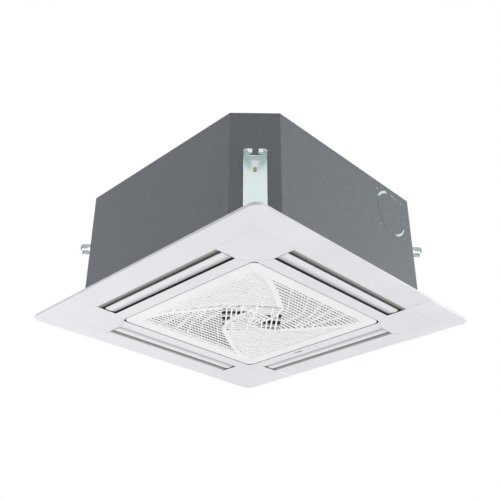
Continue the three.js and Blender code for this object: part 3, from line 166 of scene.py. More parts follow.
def moulded_abs(name, colour, roughness=0.38, painted_glow=0.0):
    """White injection-moulded ABS from a lightly spark-eroded tool: satin, even, with a faint grain."""
    # Emission is painted light: the painted glow stands for the light that walls under a millimetre of white ABS
    # let through.
    made = Finish(name, colour, roughness, **{"IOR": 1.53, "Emission Color": colour, "Emission Strength": painted_glow})
    wide = made.pattern("Noise", 0.16, {"Detail": 1.0})
    # The grain of about 0.2 mm is drawn at 0.7 mm so that it shows.
    grain = made.pattern("Noise", 0.0007)
    made.coat(wide, colour, 0.35, 0.65, under=shaded(colour, 0.975))
    made.uneven(wide, 0.04, 0.05)
    made.emboss(grain, 0.00003, 0.35)
    return made.material


def bright_zinc(name, colour, roughness=0.36, metallic=0.55):
    """Steel strip with a bright, slightly blue-green passivated zinc plating."""
    made = Finish(name, colour, roughness, metallic)
    brushed = made.pattern("Noise", 0.0012, {"Roughness": 0.6}, (1, 1, 0.06))
    cloud = made.pattern("Noise", 0.012, {"Detail": 3.0, "Roughness": 0.6})
    green = (colour[0] * 0.86, colour[1] * 0.97, colour[2] * 0.95, 1.0)
    made.coat(cloud, green, 0.4, 0.7, 0.5)
    made.uneven(brushed, 0.06, 0.1)
    made.emboss(brushed, 0.00003, 0.4)
    return made.material


def yellow_zinc(name):
    """Screws with a yellow chromate over zinc: brassy with rainbow-brown clouds."""
    made = Finish(name, linear("#CDBB83"), 0.34, 0.75)
    cloud = made.pattern("Noise", 0.0022, {"Detail": 3.0, "Roughness": 0.65})
    made.coat(cloud, linear("#AD9560"), 0.35, 0.65, under=linear("#DCCB98"))
    made.emboss(cloud, 0.00005, 0.3)
    return made.material


def expanded_foam(name, colour):
    """Moulded expanded polystyrene: white beads pressed flat against the mould, with fine seams between."""
    made = Finish(name, colour, 0.85)
    bead = 0.0038
    chance = made.add("ShaderNodeSeparateColor", {"Color": made.pattern("Voronoi", bead).outputs["Color"]})
    edges = made.pattern("Voronoi", bead, feature="DISTANCE_TO_EDGE")
    seams = made.add("ShaderNodeMapRange", {0: edges, 2: 0.09})
    made.coat(chance, shaded(colour, 0.93), 0.0, 1.0, 0.5)
    made.coat(seams, shaded(colour, 0.78), 1.0, 0.0)
    made.emboss(seams, 0.00025, 0.6)
    return made.material


def matt_plastic(name, colour, roughness=0.5):
    """Glass-filled polypropylene, moulded: matt, with a slightly mottled skin."""
    made = Finish(name, colour, roughness)
    mottle = made.pattern("Noise", 0.004, {"Detail": 3.0, "Roughness": 0.6})
    made.coat(mottle, shaded(colour, 1.35, 0.004), 0.4, 0.75, 0.5)
    made.uneven(mottle, 0.05, 0.1)
    made.emboss(made.pattern("Noise", 0.0006), 0.00004, 0.4)
    return made.material


def drawn_metal(name, colour, roughness=0.3, tarnish=None):
    """Drawn or turned metal with fine marks from the die and a thin uneven tarnish."""
    made = Finish(name, colour, roughness, 1.0)
    marks = made.pattern("Noise", 0.0008, None, (1, 0.05, 1))
    cloud = made.pattern("Noise", 0.02, {"Detail": 3.0, "Roughness": 0.6})
    made.coat(cloud, tarnish or shaded(colour, 0.75), 0.42, 0.7, 0.7)
    made.uneven(marks, 0.07, 0.12)
    made.emboss(marks, 0.00002, 0.4)
    return made.material


def circuit_laminate(name):
    """Glass-epoxy circuit board under green solder mask, with faint tracks."""
    made = Finish(name, linear("#2E6E46"), 0.35)
    tracks = made.pattern("Brick", 0.02, {
        "Color1": linear("#2A6641"), "Color2": linear("#2F7149"), "Mortar": linear("#4C9465"), "Mortar Size": 0.03,
    })
    made.feed("Base Color", tracks.outputs["Color"])
    return made.material


def vane_face(outlets, colour):
    """White ABS vane with painted shade: grey towards its hidden inner edge, which lies in shade under the panel's
    edge.
    """
    made = Finish("white_abs_painted_shade", colour, 0.35, IOR=1.53)
    reach = {0: made.outwards(), 1: outlets.inner + 0.0025, 2: outlets.inner + 0.019}
    unshaded_share = made.add("ShaderNodeMath", {0: made.add("ShaderNodeMapRange", reach), 1: 0.55}, operation="POWER")
    # Two greys mottled by noise make the painted shade.
    made.coat(made.pattern("Noise", 0.0015), linear("#6A6C6B"), under=linear("#4A4C4B"))
    made.coat(unshaded_share, colour)
    # The painted shade's roughness is 0.8, which is 0.45 above the plain plastic's.
    made.uneven(unshaded_share, -0.45, 0.0, 0.0, 1.0)
    return made.material


def duct_painted_shade(outlets):
    """Outlet lining with painted shade: grey-green, and darker still towards the air slot, where less light gets
    in.
    """
    made = Finish("duct_lining_painted_shade", outlets.duct_shade_colour, 0.8)
    edge = outlets.inner + outlets.width
    made.coat(made.outwards(), outlets.duct_shade_colour, edge + 0.001, edge + outlets.flare_width,
              under=linear("#0B0C0B"))
    made.coat(made.pattern("Noise", 0.003, {"Detail": 3.0}), linear("#A9ABA6"), 0.4, 0.7, 0.072)
    return made.material


def cellular_rubber(name):
    """Black closed-cell rubber: matt, with open pores of about half a millimetre, drawn at twice that."""
    made = Finish(name, linear("#1C1D1F"), 0.85)
    pores = made.pattern("Voronoi", 0.0011)
    made.coat(pores, linear("#26272A"), 0.0, 0.5, under=linear("#0E0F10"))
    made.emboss(pores, 0.0003, 0.6)
    return made.material


def signal_lens(name):
    """Smoked translucent polycarbonate over the signal lamps: glossy pale grey."""
    made = Finish(name, linear("#B4B8BE"), 0.16, IOR=1.58)
    made.coat(made.pattern("Noise", 0.003), linear("#BDC1C6"), 0.4, 0.6, under=linear("#AEB2B8"))
    return made.material


# ---- Mesh helpers ----------------------------------------------------------------------------

def rounded(half, radius, steps=12):
    """A rounded square's outline, anticlockwise."""
    points = []
    for quarter in range(4):
        angle = quarter * QUARTER
        centre = Matrix.Rotation(angle, 2) @ Vector((half - radius, half - radius))
        for i in range(steps + 1):
            turn = angle + i / steps * QUARTER
            points.append((centre.x + radius * math.cos(turn), centre.y + radius * math.sin(turn)))
    return points


def circle(x, y, radius, steps):
    turns = [2 * math.pi * k / steps for k in range(steps)]
    return [(x + radius * math.cos(a), y + radius * math.sin(a)) for a in turns]


def at_height(outline, z):
    return [(x, y, z) for x, y in outline]


def squares(rows, steps=12):
    """Rings of rounded squares from rows of half width, corner radius and height."""
    return [at_height(rounded(half, radius, steps), z) for half, radius, z in rows]


def mesh_of(name, points, faces=(), edges=()):
    mesh = bpy.data.meshes.new(name)
    mesh.from_pydata(points, edges, faces)
    return mesh


def tidied(mesh, distance=1e-6):
    """Merges doubled points and turns all faces outwards."""
    form = bmesh.new()
    form.from_mesh(mesh)
    bmesh.ops.remove_doubles(form, verts=form.verts, dist=distance)
    bmesh.ops.recalc_face_normals(form, faces=form.faces)
    form.to_mesh(mesh)
    form.free()
    return mesh


def loft(name, rings, closed=False):
    """A skin over rings of equal length, with caps, or closed from the last ring to the first."""
    count = len(rings[0])
    points = [point for ring in rings for point in ring]
    faces = []
    for r in range(len(rings) if closed else len(rings) - 1):
        low = r * count
        high = (r + 1) % len(rings) * count
        for i in range(count):
            j = (i + 1) % count
            faces.append((low + i, low + j, high + j, high + i))
    if not closed:
        faces.append(tuple(reversed(range(count))))
        faces.append(tuple((len(rings) - 1) * count + i for i in range(count)))
    return tidied(mesh_of(name, points, faces))


def prism(name, outline, z0, z1):
    return loft(name, [at_height(outline, z0), at_height(outline, z1)])


def bar(name, section, y0, y1):
    """A section in X and Z, swept along Y."""
    return loft(name, [[(x, y0, z) for x, z in section], [(x, y1, z) for x, z in section]])


def turned(name, profile, segments):
    """A closed profile of radius and height, turned about the Z axis."""
    rings = []
    for i in range(segments):
        angle = 2 * math.pi * i / segments
        rings.append([(r * math.cos(angle), r * math.sin(angle), z) for r, z in profile])
    return loft(name, rings, closed=True)


def box_mesh(name, low, high):
    (x0, y0, z0), (x1, y1, z1) = low, high
    return prism(name, [(x0, y0), (x1, y0), (x1, y1), (x0, y1)], z0, z1)


def rod(name, start, stop, radius, sides):
    """A round rod between two points."""
    ends = [Vector(start), Vector(stop)]
    ahead = (ends[1] - ends[0]).normalized()
    across = ahead.orthogonal().normalized()
    aside = ahead.cross(across)
    turns = [2 * math.pi * k / sides for k in range(sides)]
    return loft(name, [
        [tuple(end + radius * (math.cos(a) * across + math.sin(a) * aside)) for a in turns] for end in ends])


def joined(name, *meshes):
    """One mesh out of several, each with its own material numbers kept."""
    form = bmesh.new()
    for mesh in meshes:
        form.from_mesh(mesh)
    whole = bpy.data.meshes.new(name)
    form.to_mesh(whole)
    form.free()
    return whole


def turned_copy(mesh, quarters):
    copy = mesh.copy()
    copy.transform(Matrix.Rotation(quarters * QUARTER, 4, "Z"))
    return copy


def four(name, mesh):
    """A mesh and its three copies, a quarter turn apart."""
    return joined(name, *(turned_copy(mesh, k) for k in range(4)))


def holder_for(mesh):
    holder = bpy.data.objects.new("holder", mesh)
    bpy.context.scene.collection.objects.link(holder)
    return holder


def evaluated(holder):
    """The holder's mesh with its modifiers applied, as a plain mesh; the holder goes."""
    scene_state = bpy.context.evaluated_depsgraph_get()
    mesh = bpy.data.meshes.new_from_object(holder.evaluated_get(scene_state), depsgraph=scene_state)
    bpy.data.objects.remove(holder)
    return mesh


def carved(mesh, *cutters):
    """The mesh less each cutter, with all its faces numbered for the first material."""
    holder = holder_for(mesh)
    tools = [holder_for(cutter) for cutter in cutters]
    for tool in tools:
        modifier = holder.modifiers.new("cut", "BOOLEAN")
        modifier.operation = "DIFFERENCE"
        modifier.solver = "MANIFOLD"
        modifier.object = tool
    result = evaluated(holder)
    for tool in tools:
        bpy.data.objects.remove(tool)
    result.polygons.foreach_set("material_index", [0] * len(result.polygons))
    return result


def mark_faces(mesh, test, number):
    """Gives the faces that pass the test another material number."""
    for face in mesh.polygons:
        if test(face.center, face.normal):
            face.material_index = number


def cad_copy(node):
    """A CAD node's mesh as one joined surface with its flat faces merged."""
    mesh = NODES[node].data.copy()
    mesh.materials.clear()
    form = bmesh.new()
    form.from_mesh(mesh)
    bmesh.ops.remove_doubles(form, verts=form.verts, dist=2e-6)
    bmesh.ops.dissolve_limit(form, angle_limit=0.003, verts=form.verts, edges=form.edges)
    form.to_mesh(mesh)
    form.free()
    return mesh


def piece(name, mesh, body, slot, materials, stands_for=(), smooth=32, bevel=0.0, segments=2):
    """Puts a finished mesh on its body, with its material, softened edges and smooth shading."""
    thing = bpy.data.objects.new(name, mesh)
    bpy.context.scene.collection.objects.link(thing)
    # Clearing the materials also clears the faces' numbers, so they are put back.
    numbers = [face.material_index for face in mesh.polygons]
    mesh.materials.clear()
    for material in materials if isinstance(materials, (list, tuple)) else [materials]:
        mesh.materials.append(material)
    mesh.polygons.foreach_set("material_index", [min(n, len(mesh.materials) - 1) for n in numbers])
    mesh.shade_smooth()
    mesh.set_sharp_from_angle(angle=math.radians(smooth))
    if bevel:
        modifier = thing.modifiers.new("soft_edges", "BEVEL")
        modifier.width = bevel
        modifier.segments = segments
        modifier.limit_method = "ANGLE"
        modifier.angle_limit = math.radians(smooth)
        modifier.harden_normals = True
    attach(thing, body)
    if stands_for:
        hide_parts(*stands_for)
    return thing


def cad_pieces(rows):
    """Pieces with a CAD node's shape, from rows of name, node, body, slot, material, sharp angle and bevel."""
    for name, node, body, slot, material, smooth, bevel in rows:
        piece(name, cad_copy(node), body, slot, material, [node], smooth, bevel)


def dress(node, material):
    """Gives a CAD node's own object a material."""
    mesh = NODES[node].data
    mesh.materials.clear()
    mesh.materials.append(material)


# ---- Geometry Nodes --------------------------------------------------------------------------

def new_tree(name, **inputs):
    """An empty geometry tree with a geometry input and output and the named inputs."""
    tree = bpy.data.node_groups.new(name, "GeometryNodeTree")
    tree.interface.new_socket("Geometry", in_out="INPUT", socket_type="NodeSocketGeometry")
    for label, kind in inputs.items():
        tree.interface.new_socket(label, in_out="INPUT", socket_type=f"NodeSocket{kind}")
    tree.interface.new_socket("Geometry", in_out="OUTPUT", socket_type="NodeSocketGeometry")
    return tree, tree.nodes.new("NodeGroupInput").outputs


def finish_tree(tree, geometry, material):
    real = add_node(tree, "GeometryNodeRealizeInstances", {"Geometry": geometry})
    painted = add_node(tree, "GeometryNodeSetMaterial", {"Geometry": real, "Material": material})
    add_node(tree, "NodeGroupOutput", {"Geometry": painted})


def grown(name, lines, tree, values):
    """Runs a geometry tree on open lines of points and returns the plain result."""
    points = []
    edges = []
    for line in lines:
        start = len(points)
        points.extend(line)
        edges.extend((start + i, start + i + 1) for i in range(len(line) - 1))
    holder = holder_for(mesh_of(name, points, edges=edges))
    modifier = holder.modifiers.new("form", "NODES")
    modifier.node_group = tree
    for item in tree.interface.items_tree:
        if item.in_out == "INPUT" and item.name in values:
            modifier[item.identifier] = values[item.name]
    return evaluated(holder)


def strips_tree():
    """Moulded strips: each line of edges becomes a rounded bar, and the set is repeated round the centre."""
    tree, given = new_tree(
        "moulded_strips", Width="Float", Depth="Float", Corner="Float", Copies="Int", Material="Material")
    lines = add_node(tree, "GeometryNodeMeshToCurve", {"Mesh": given["Geometry"]})
    upright = add_node(tree, "GeometryNodeSetCurveNormal", {"Curve": lines}, mode="Z_UP")
    section = add_node(tree, "GeometryNodeCurvePrimitiveQuadrilateral", {
        "Width": given["Width"], "Height": given["Depth"],
    })
    softened = add_node(tree, "GeometryNodeFilletCurve", {
        "Curve": section, "Count": 2, "Radius": given["Corner"], "Limit Radius": True,
    }, mode="POLY")
    bars = add_node(tree, "GeometryNodeCurveToMesh", {
        "Curve": upright, "Profile Curve": softened, "Fill Caps": True,
    })
    centre = add_node(tree, "GeometryNodeMeshLine", {"Count": given["Copies"], "Offset": (0, 0, 0)})
    number = add_node(tree, "GeometryNodeInputIndex")
    turn = add_node(tree, "ShaderNodeMath", {0: number, 1: QUARTER}, operation="MULTIPLY")
    copies = add_node(tree, "GeometryNodeInstanceOnPoints", {
        "Points": centre, "Instance": bars, "Rotation": add_node(tree, "ShaderNodeCombineXYZ", {"Z": turn}),
    })
    finish_tree(tree, copies, given["Material"])
    return tree


def stack_tree():
    """Plates set square to a path at an even pitch, as fins are on a coil."""
    tree, given = new_tree(
        "plates_on_path", Pitch="Float", Width="Float", Height="Float", Thickness="Float", Material="Material")
    path = add_node(tree, "GeometryNodeMeshToCurve", {"Mesh": given["Geometry"]})
    spots = add_node(tree, "GeometryNodeCurveToPoints", {"Curve": path, "Length": given["Pitch"]}, mode="LENGTH")
    size = add_node(tree, "ShaderNodeCombineXYZ", {
        "X": given["Width"], "Y": given["Height"], "Z": given["Thickness"],
    })
    plate = add_node(tree, "GeometryNodeMeshCube", {"Size": size})
    fins = add_node(tree, "GeometryNodeInstanceOnPoints", {
        "Points": spots, "Instance": plate, "Rotation": spots.outputs["Rotation"],
    })
    finish_tree(tree, fins, given["Material"])
    return tree


# ---- Settings --------------------------------------------------------------------------------

def length(name, description, value):
    return FloatProperty(
        name=name, description=description, default=value, min=0, max=2, subtype="DISTANCE", unit="LENGTH",
        precision=5)


def heading(name, description, degrees):
    return FloatProperty(name=name, description=description, default=math.radians(degrees), subtype="ANGLE")


def paint(name, description, hex_colour):
    return FloatVectorProperty(
        name=name, description=description, default=linear(hex_colour), size=4, min=0, max=1, subtype="COLOR")


class StageSettings(bpy.types.PropertyGroup):
    lens: FloatProperty(
        name="Lens", description="Focal length on a 36 mm sensor", default=52.43, min=10, max=300, unit="CAMERA")
    yaw: heading("Yaw", "Heading of the view from the X axis", 43.95)
    pitch: heading("Pitch", "How far the view looks up", 28.65)
    world_light: FloatProperty(
        name="Sky light", description="Strength of the plain light from all round", default=0.34, min=0, max=5)
    floor_level: length("Floor depth", "How far the floor lies below the ceiling", 1.75)
    floor_colour: paint("Floor colour", "Pale studio floor", "#ECECEC")


class CasingSettings(bpy.types.PropertyGroup):
    sheet_colour: paint("Sheet colour", "Galvanised sheet", "#6F7378")
    fleck_size: length("Fleck size", "Size of the flecks in the zinc", 0.0026)
    fold: length("Fold radius", "Softness of the sheet's edges", 0.0004)
    hanger_colour: paint("Hanger colour", "Plated hanger strip", "#E9F5F4")
    # The edge colour is a painted highlight on the knock-out's cut edges, and a teal darker than the plate on the
    # hangers' thin faces.
    edge_colour: paint("Cut edge colour", "Plating on cut edges", "#7FB5AE")


class PanelSettings(bpy.types.PropertyGroup):
    colour: paint("Panel colour", "White moulded plastic", "#F1F3F7")
    facet_width: length("Facet width", "Width of the sloping facets", 0.054)
    rim: length("Rim height", "Height of the outer rim", 0.006)
    drop: length("Panel drop", "Depth of the flat middle below the ceiling", 0.008)
    corner: length("Corner radius", "Outer corner radius", 0.018)
    scoop: length("Scoop depth", "Depth of the scoop before each outlet", 0.0017)
    scoop_rim: length("Scoop depth at the rim", "Depth of the scoop where it runs out at the rim", 0.0011)
    soft_edge: length("Edge softness", "Bevel on the panel's edges", 0.0005)


class OutletSettings(bpy.types.PropertyGroup):
    inner: length("Outlet inner edge", "From the centre to the outlet's inner edge", 0.228)
    width: length("Outlet width", "Width of the air slot", 0.03)
    half: length("Outlet half length", "Half of the outlet's length", 0.178)
    flare_width: length("Flare width", "Width of the flare outside the slot", 0.0166)
    # The duct colour is painted shade inside the outlet.
    duct_shade_colour: paint("Duct colour", "Grey-green lining seen inside the outlet", "#B9BCB6")


class GrilleSettings(bpy.types.PropertyGroup):
    colour: paint("Grille colour", "White moulded plastic", "#F6F7F9")
    filter_colour: paint("Filter colour", "Dark filter net", "#2B2D31")
    pitch: length("Slat pitch", "From slat to slat", 0.0099)
    slat_width: length("Slat width", "Width of a slat's face", 0.0056)
    slat_depth: length("Slat depth", "Depth of a slat", 0.0010)
    rib_pitch: length("Rib pitch", "From rib to rib behind the slats", 0.006)
    rib_width: length("Rib width", "Width of a rib behind the slats", 0.0005)
    rib_depth: length("Rib depth", "Depth of the ribs behind the slats", 0.0042)
    fin_width: length("Fin width", "Width of a cross fin", 0.0015)
    dish: length("Dish", "How far the middle lies above the face", 0.0052)
    swirl: length("Swirl half width", "Half width of the slatted field", 0.1672)
    net_pitch: length("Net pitch", "From thread to thread of the filter", 0.002)


class InsideSettings(bpy.types.PropertyGroup):
    fin_pitch: length("Fin pitch", "From fin to fin of the coil, drawn wider than the real 1.5 mm", 0.0026)


# ---- Stage -----------------------------------------------------------------------------------

CAMERA_PLACE = (-1.0442, -1.0087, -0.6285)
CAMERA_SHIFT = (-0.0048, 0.002)
LIGHT_TARGET = Vector((0, 0, 0.05))
FLOOR_HALF = 6
# Name, place, diameter in metres and power in watts of each lamp
LIGHTS = (
    ("right_side", (2.2, -2.2, -0.2), 1.4, 43),
    ("left_side", (-2.2, 2.2, -0.2), 1.4, 17),
    ("key", (0.3, -2.4, -0.6), 1.6, 8),
    ("fill", (-2.4, 0.2, -0.9), 1.8, 3),
    ("under", (-0.3, 0.6, -1.5), 1.4, 10),
    ("top", (0.2, 0.2, 3.2), 2.2, 45),
)


class CASSETTE_OT_stage(bpy.types.Operator):
    """Camera, plain light, pale floor and white background"""
    bl_idname = "cassette.stage"
    bl_label = "Stage"

    def execute(self, context):
        settings = context.scene.cassette_stage
        scene = context.scene
        data = bpy.data.cameras.new("camera")
        data.sensor_width = 36
        data.lens = settings.lens
        data.shift_x, data.shift_y = CAMERA_SHIFT
        data.clip_start = 0.01
        camera = bpy.data.objects.new("camera", data)
        level = math.cos(settings.pitch)
        ahead = Vector((
            level * math.cos(settings.yaw), level * math.sin(settings.yaw), math.sin(settings.pitch)))
        camera.location = CAMERA_PLACE
        camera.rotation_euler = ahead.to_track_quat("-Z", "Y").to_euler()
        scene.collection.objects.link(camera)
        scene.camera = camera
        scene.view_settings.view_transform = "Standard"
        self.sky(scene, settings.world_light)
        for lamp in LIGHTS:
            self.lamp(scene, *lamp)
        self.floor(scene, settings)
        return {"FINISHED"}

    def floor(self, scene, settings):
        corners = [(u * FLOOR_HALF, v * FLOOR_HALF) for u, v in ((-1, -1), (1, -1), (1, 1), (-1, 1))]
        mesh = mesh_of("floor", at_height(corners, -settings.floor_level), [(0, 1, 2, 3)])
        floor = bpy.data.objects.new("floor", mesh)
        scene.collection.objects.link(floor)
        paper = Finish("seamless_paper", settings.floor_colour, 0.9)
        fibres = paper.pattern("Noise", 0.004, {"Detail": 3.0})
        paper.coat(fibres, shaded(settings.floor_colour, 0.97))
        mesh.materials.append(paper.material)

    def sky(self, scene, strength):
        """Even light from all round, which the camera, mirrors and glass see as white."""
        world = bpy.data.worlds.new("studio")
        world.use_nodes = True
        scene.world = world
        tree = world.node_tree
        tree.nodes.clear()
        white = (1, 1, 1, 1)
        plain = add_node(tree, "ShaderNodeBackground", {"Color": white, "Strength": strength})
        bright = add_node(tree, "ShaderNodeBackground", {"Color": white, "Strength": 1.0})
        rays = add_node(tree, "ShaderNodeLightPath").outputs
        seen = rays["Is Camera Ray"]
        for kind in ("Is Glossy Ray", "Is Transmission Ray"):
            seen = add_node(tree, "ShaderNodeMath", {0: seen, 1: rays[kind]}, operation="MAXIMUM")
        mixed = add_node(tree, "ShaderNodeMixShader", {0: seen, 1: plain, 2: bright})
        add_node(tree, "ShaderNodeOutputWorld", {"Surface": mixed})

    def lamp(self, scene, name, place, size, power):
        data = bpy.data.lights.new(name, "AREA")
        data.shape = "DISK"
        data.size = size
        data.energy = power
        lamp = bpy.data.objects.new(name, data)
        lamp.location = place
        lamp.rotation_euler = (LIGHT_TARGET - Vector(place)).to_track_quat("-Z", "Y").to_euler()
        scene.collection.objects.link(lamp)


# ---- Casing and hangers ----------------------------------------------------------------------

# The fresh air knock-out in the front wall: its centre in X and Z, and the arcs of its slit, each as inner and
# outer radius and first and last angle in degrees
KNOCKOUT = (0.145, 0.207)
KNOCKOUT_ARCS = (
    (0.0478, 0.0540, 100, 148), (0.0482, 0.0536, -75, -26), (0.0488, 0.0526, -12, 84),
    (0.0496, 0.0518, 178, 258),
)
# The collar holes lie this far from the centre in X and Z.
COLLAR_HOLE_SPREAD = 0.045
COLLAR_HOLE_RADIUS = 0.0034
# The collar behind them: its ring, and a tab behind each hole, each as inner and outer radius and two heights
COLLAR_RING = (0.0445, 0.0605, 0.0, 0.0008)
COLLAR_TAB = (0.0, 0.006, 0.0001, 0.0007)
SHEET = 0.0012
# Where the hangers' screws stand: from the axis along the diagonal, and above the ceiling
SCREW_REACH = 0.3584
SCREW_LEVEL = 0.139
SCREW_RADIUS = 0.0042
SCREW_HEIGHT = 0.0023
SCREW_SHANK = ((0, -0.011), (0.0022, -0.011), (0.0025, 0.0), (0, 0))


def screw_head(radius, height):
    """A pan head with a cross recess, standing on Z = 0 and pointing up."""
    steps = 8
    profile = [(0, 0), (radius, 0)]
    for i in range(steps + 1):
        angle = i / steps * QUARTER
        profile.append((radius * (0.72 + 0.28 * math.cos(angle)), height * (0.35 + 0.65 * math.sin(angle))))
    profile.append((0, height))
    deep = height * 0.55
    arm = radius * 0.62
    slot = radius * 0.13
    blades = [
        box_mesh("recess", (-x, -y, height - deep), (x, y, height + deep))
        for x, y in ((arm, slot), (slot, arm))
    ]
    return carved(turned("screw_head", profile, 40), *blades)


def washer(name, inner, outer, low, high, segments):
    """A flat ring, or a disc where inner is zero."""
    return turned(name, [(inner, low), (outer, low), (outer, high), (inner, high)], segments)


def on_front_wall(x, z, depth, turn):
    """From a frame with Z along the wall's normal to a place on the front wall."""
    place = Matrix.Translation((x, CASING_LOW.y + depth, z))
    return place @ Matrix.Rotation(turn, 4, "X")


def arc_cutter(centre, inner, outer, start, stop):
    """An arc of a ring, in degrees from the X axis, that cuts through the front wall."""
    steps = [math.radians(start + (stop - start) * i / 16) for i in range(17)]
    outline = [(outer * math.cos(a), outer * math.sin(a)) for a in steps]
    outline += [(inner * math.cos(a), inner * math.sin(a)) for a in reversed(steps)]
    arc = prism("arc", outline, -0.003, 0.003)
    arc.transform(on_front_wall(*centre, 0.0, QUARTER))
    return arc


class CASSETTE_OT_casing(bpy.types.Operator):
    """Galvanised casing with its knock-out, top plate and foam liner"""
    bl_idname = "cassette.casing"
    bl_label = "Casing"

    def execute(self, context):
        settings = context.scene.cassette_casing
        sheet = galvanised_sheet("galvanised_steel", settings)
        # Painted highlight: the walls of the knock-out's slits and holes get the edge colour, paler than the
        # sheet, for the light their edges catch.
        cut_edge = bright_zinc("cut_edge_painted_highlight", settings.edge_colour, 0.3, 0.4)
        zinc = bright_zinc("zinc_collar", linear("#DDF0EC"), 0.4, 0.2)
        foam = expanded_foam("polystyrene_foam", linear("#E9EBE8"))
        piece("knockout_collar", self.collar(), "unit", "galvanised_sheet", zinc)
        piece("casing_wall", self.wall(), "unit", "galvanised_sheet", [sheet, cut_edge], ["side_wrap"], 40)
        rows = [("casing_top", "top_plate", "unit", "galvanised_sheet", sheet, 30, settings.fold)]
        rows.append(("foam_lining", "foam_liner", "unit", "white_foam", foam, 32, 0.0))
        for node in ("control_box", "control_box_lid", "motor_bracket", "pipe_plate"):
            rows.append((f"{node}_sheet", node, "unit", "galvanised_sheet", sheet, 30, settings.fold))
        cad_pieces(rows)
        return {"FINISHED"}

    def wall(self):
        arcs = [arc_cutter(KNOCKOUT, *arc) for arc in KNOCKOUT_ARCS]
        for u, v in ((-1, -1), (-1, 1), (1, -1), (1, 1)):
            hole = (KNOCKOUT[0] + u * COLLAR_HOLE_SPREAD, KNOCKOUT[1] + v * COLLAR_HOLE_SPREAD)
            arcs.append(arc_cutter(hole, 0.0, COLLAR_HOLE_RADIUS, 0, 359.9))
        wall = carved(cad_copy("side_wrap"), *arcs)

        def in_knockout(place, normal):
            near = place.x > 0.08 and place.z > 0.15
            return near and place.y < CASING_LOW.y + SHEET and abs(normal.y) < 0.5

        # The slit and hole walls carry the painted highlight.
        mark_faces(wall, in_knockout, 1)
        return wall

    def collar(self):
        tab = washer("tab", *COLLAR_TAB, 24)
        tab.transform(Matrix.Translation((COLLAR_HOLE_SPREAD, COLLAR_HOLE_SPREAD, 0)))
        collar = joined("collar", washer("ring", *COLLAR_RING, 72), four("tabs", tab))
        collar.transform(on_front_wall(*KNOCKOUT, SHEET + 0.0001, -QUARTER))
        return collar


class CASSETTE_OT_hangers(bpy.types.Operator):
    """Plated hangers on the cut corners, with their screws"""
    bl_idname = "cassette.hangers"
    bl_label = "Hangers"

    def execute(self, context):
        settings = context.scene.cassette_casing
        plate = bright_zinc("bright_zinc_plate", settings.hanger_colour, 0.34, 0.78)
        edge = bright_zinc("zinc_strip_edge", settings.edge_colour, 0.32, 0.4)
        yellow = yellow_zinc("yellow_chromate")
        for turns, corner in enumerate(CORNERS):
            node = f"hanger_{corner}"
            mesh = cad_copy(node)
            angle = (turns + 0.5) * QUARTER
            out = Vector((math.cos(angle), math.sin(angle), 0))

            def thin(centre, normal, out=out):
                return abs(normal.z) < 0.5 and abs(normal.dot(out)) < 0.5

            # The strips' thin faces get the edge colour, a teal darker than the plate.
            mark_faces(mesh, thin, 1)
            piece(f"hanger_strip_{corner}", mesh, "unit", "hanger_steel", [plate, edge], [node], 30, 0.0005, 3)
            shank = turned("shank", SCREW_SHANK, 20)
            screw = joined("screw", screw_head(SCREW_RADIUS, SCREW_HEIGHT), shank)
            stand = Matrix.Rotation(angle, 4, "Z") @ Matrix.Translation((SCREW_REACH, 0, SCREW_LEVEL))
            screw.transform(stand @ Matrix.Rotation(QUARTER, 4, "Y"))
            piece(f"hanger_bolt_{corner}", screw, "unit", "zinc_screw", yellow, [f"hanger_screw_{corner}"], 40)
            dress(f"panel_screw_{corner}", yellow)
        return {"FINISHED"}


# ---- Panel -----------------------------------------------------------------------------------

# The gap between the grille and the panel, and the room between the outlet's end and a corner cover
GRILLE_GAP = 0.002
COVER_GAP = 0.0004
# The lamp marks on the right side's border, in a row along Y
LAMP_LINE = 0.2101
LAMP_ROW = [-0.044 + 0.0195 * k for k in range(4)]
LAMP_SEAT_RADIUS = 0.0017
LAMP_RADIUS = 0.0015
# The way for a panel screw under each corner cover: its centre in X and Y, and its radius
SCREW_WAY = (0.2362, 0.2362, 0.0062)


def outlet_cutter(settings, panel):
    """The air slot and its flare through the panel, on the right side."""
    below = -panel.drop - 0.002
    inner = settings.inner
    outer = inner + settings.width
    far = outer + settings.flare_width
    floor = -panel.drop + panel.scoop
    lip = 0.0003
    section = [(inner, below), (far, below), (far, floor + lip)]
    steps = 8
    for i in range(steps + 1):
        t = i / steps
        section.append((far - lip - t * (far - outer - 2 * lip), floor + 0.0004 + 0.0025 * t ** 1.2))
    top = PANEL_HIGH.z + 0.001
    section += [(outer, 0.0), (outer, top), (inner, top)]
    return bar("outlet", section, -settings.half, settings.half)


def scoop_cutter(settings, panel):
    """The shallow scoop from the outlet out to the rim, on the right side."""
    below = -panel.drop - 0.002
    start = settings.inner + settings.width + settings.flare_width - 0.002
    edge = PANEL_HIGH.x
    floor = -panel.drop + panel.scoop
    section = [
        (start, below), (edge + 0.001, below), (edge + 0.001, -panel.rim + panel.scoop_rim),
        (edge - panel.facet_width, floor), (start, floor),
    ]
    return bar("scoop", section, -settings.half, settings.half)


def cover_outline(settings, panel, gap):
    """The outline of the back right corner cover, less a gap all round."""
    near = settings.half + COVER_GAP + gap
    far = PANEL_HIGH.x - panel.facet_width - gap
    start = settings.inner - COVER_GAP + gap
    # The bow towards the grille's corner bends over this point, in X and Y.
    bend = GRILLE_HIGH.y + GRILLE_GAP - 0.0076 + gap
    points = [(far, near), (far, far), (near, far), (near, start)]
    steps = 14
    for i in range(1, steps + 1):
        t = i / steps
        a, b, c = (1 - t) ** 2, 2 * t * (1 - t), t * t
        points.append((a * near + b * bend + c * start, a * start + b * bend + c * near))
    return points


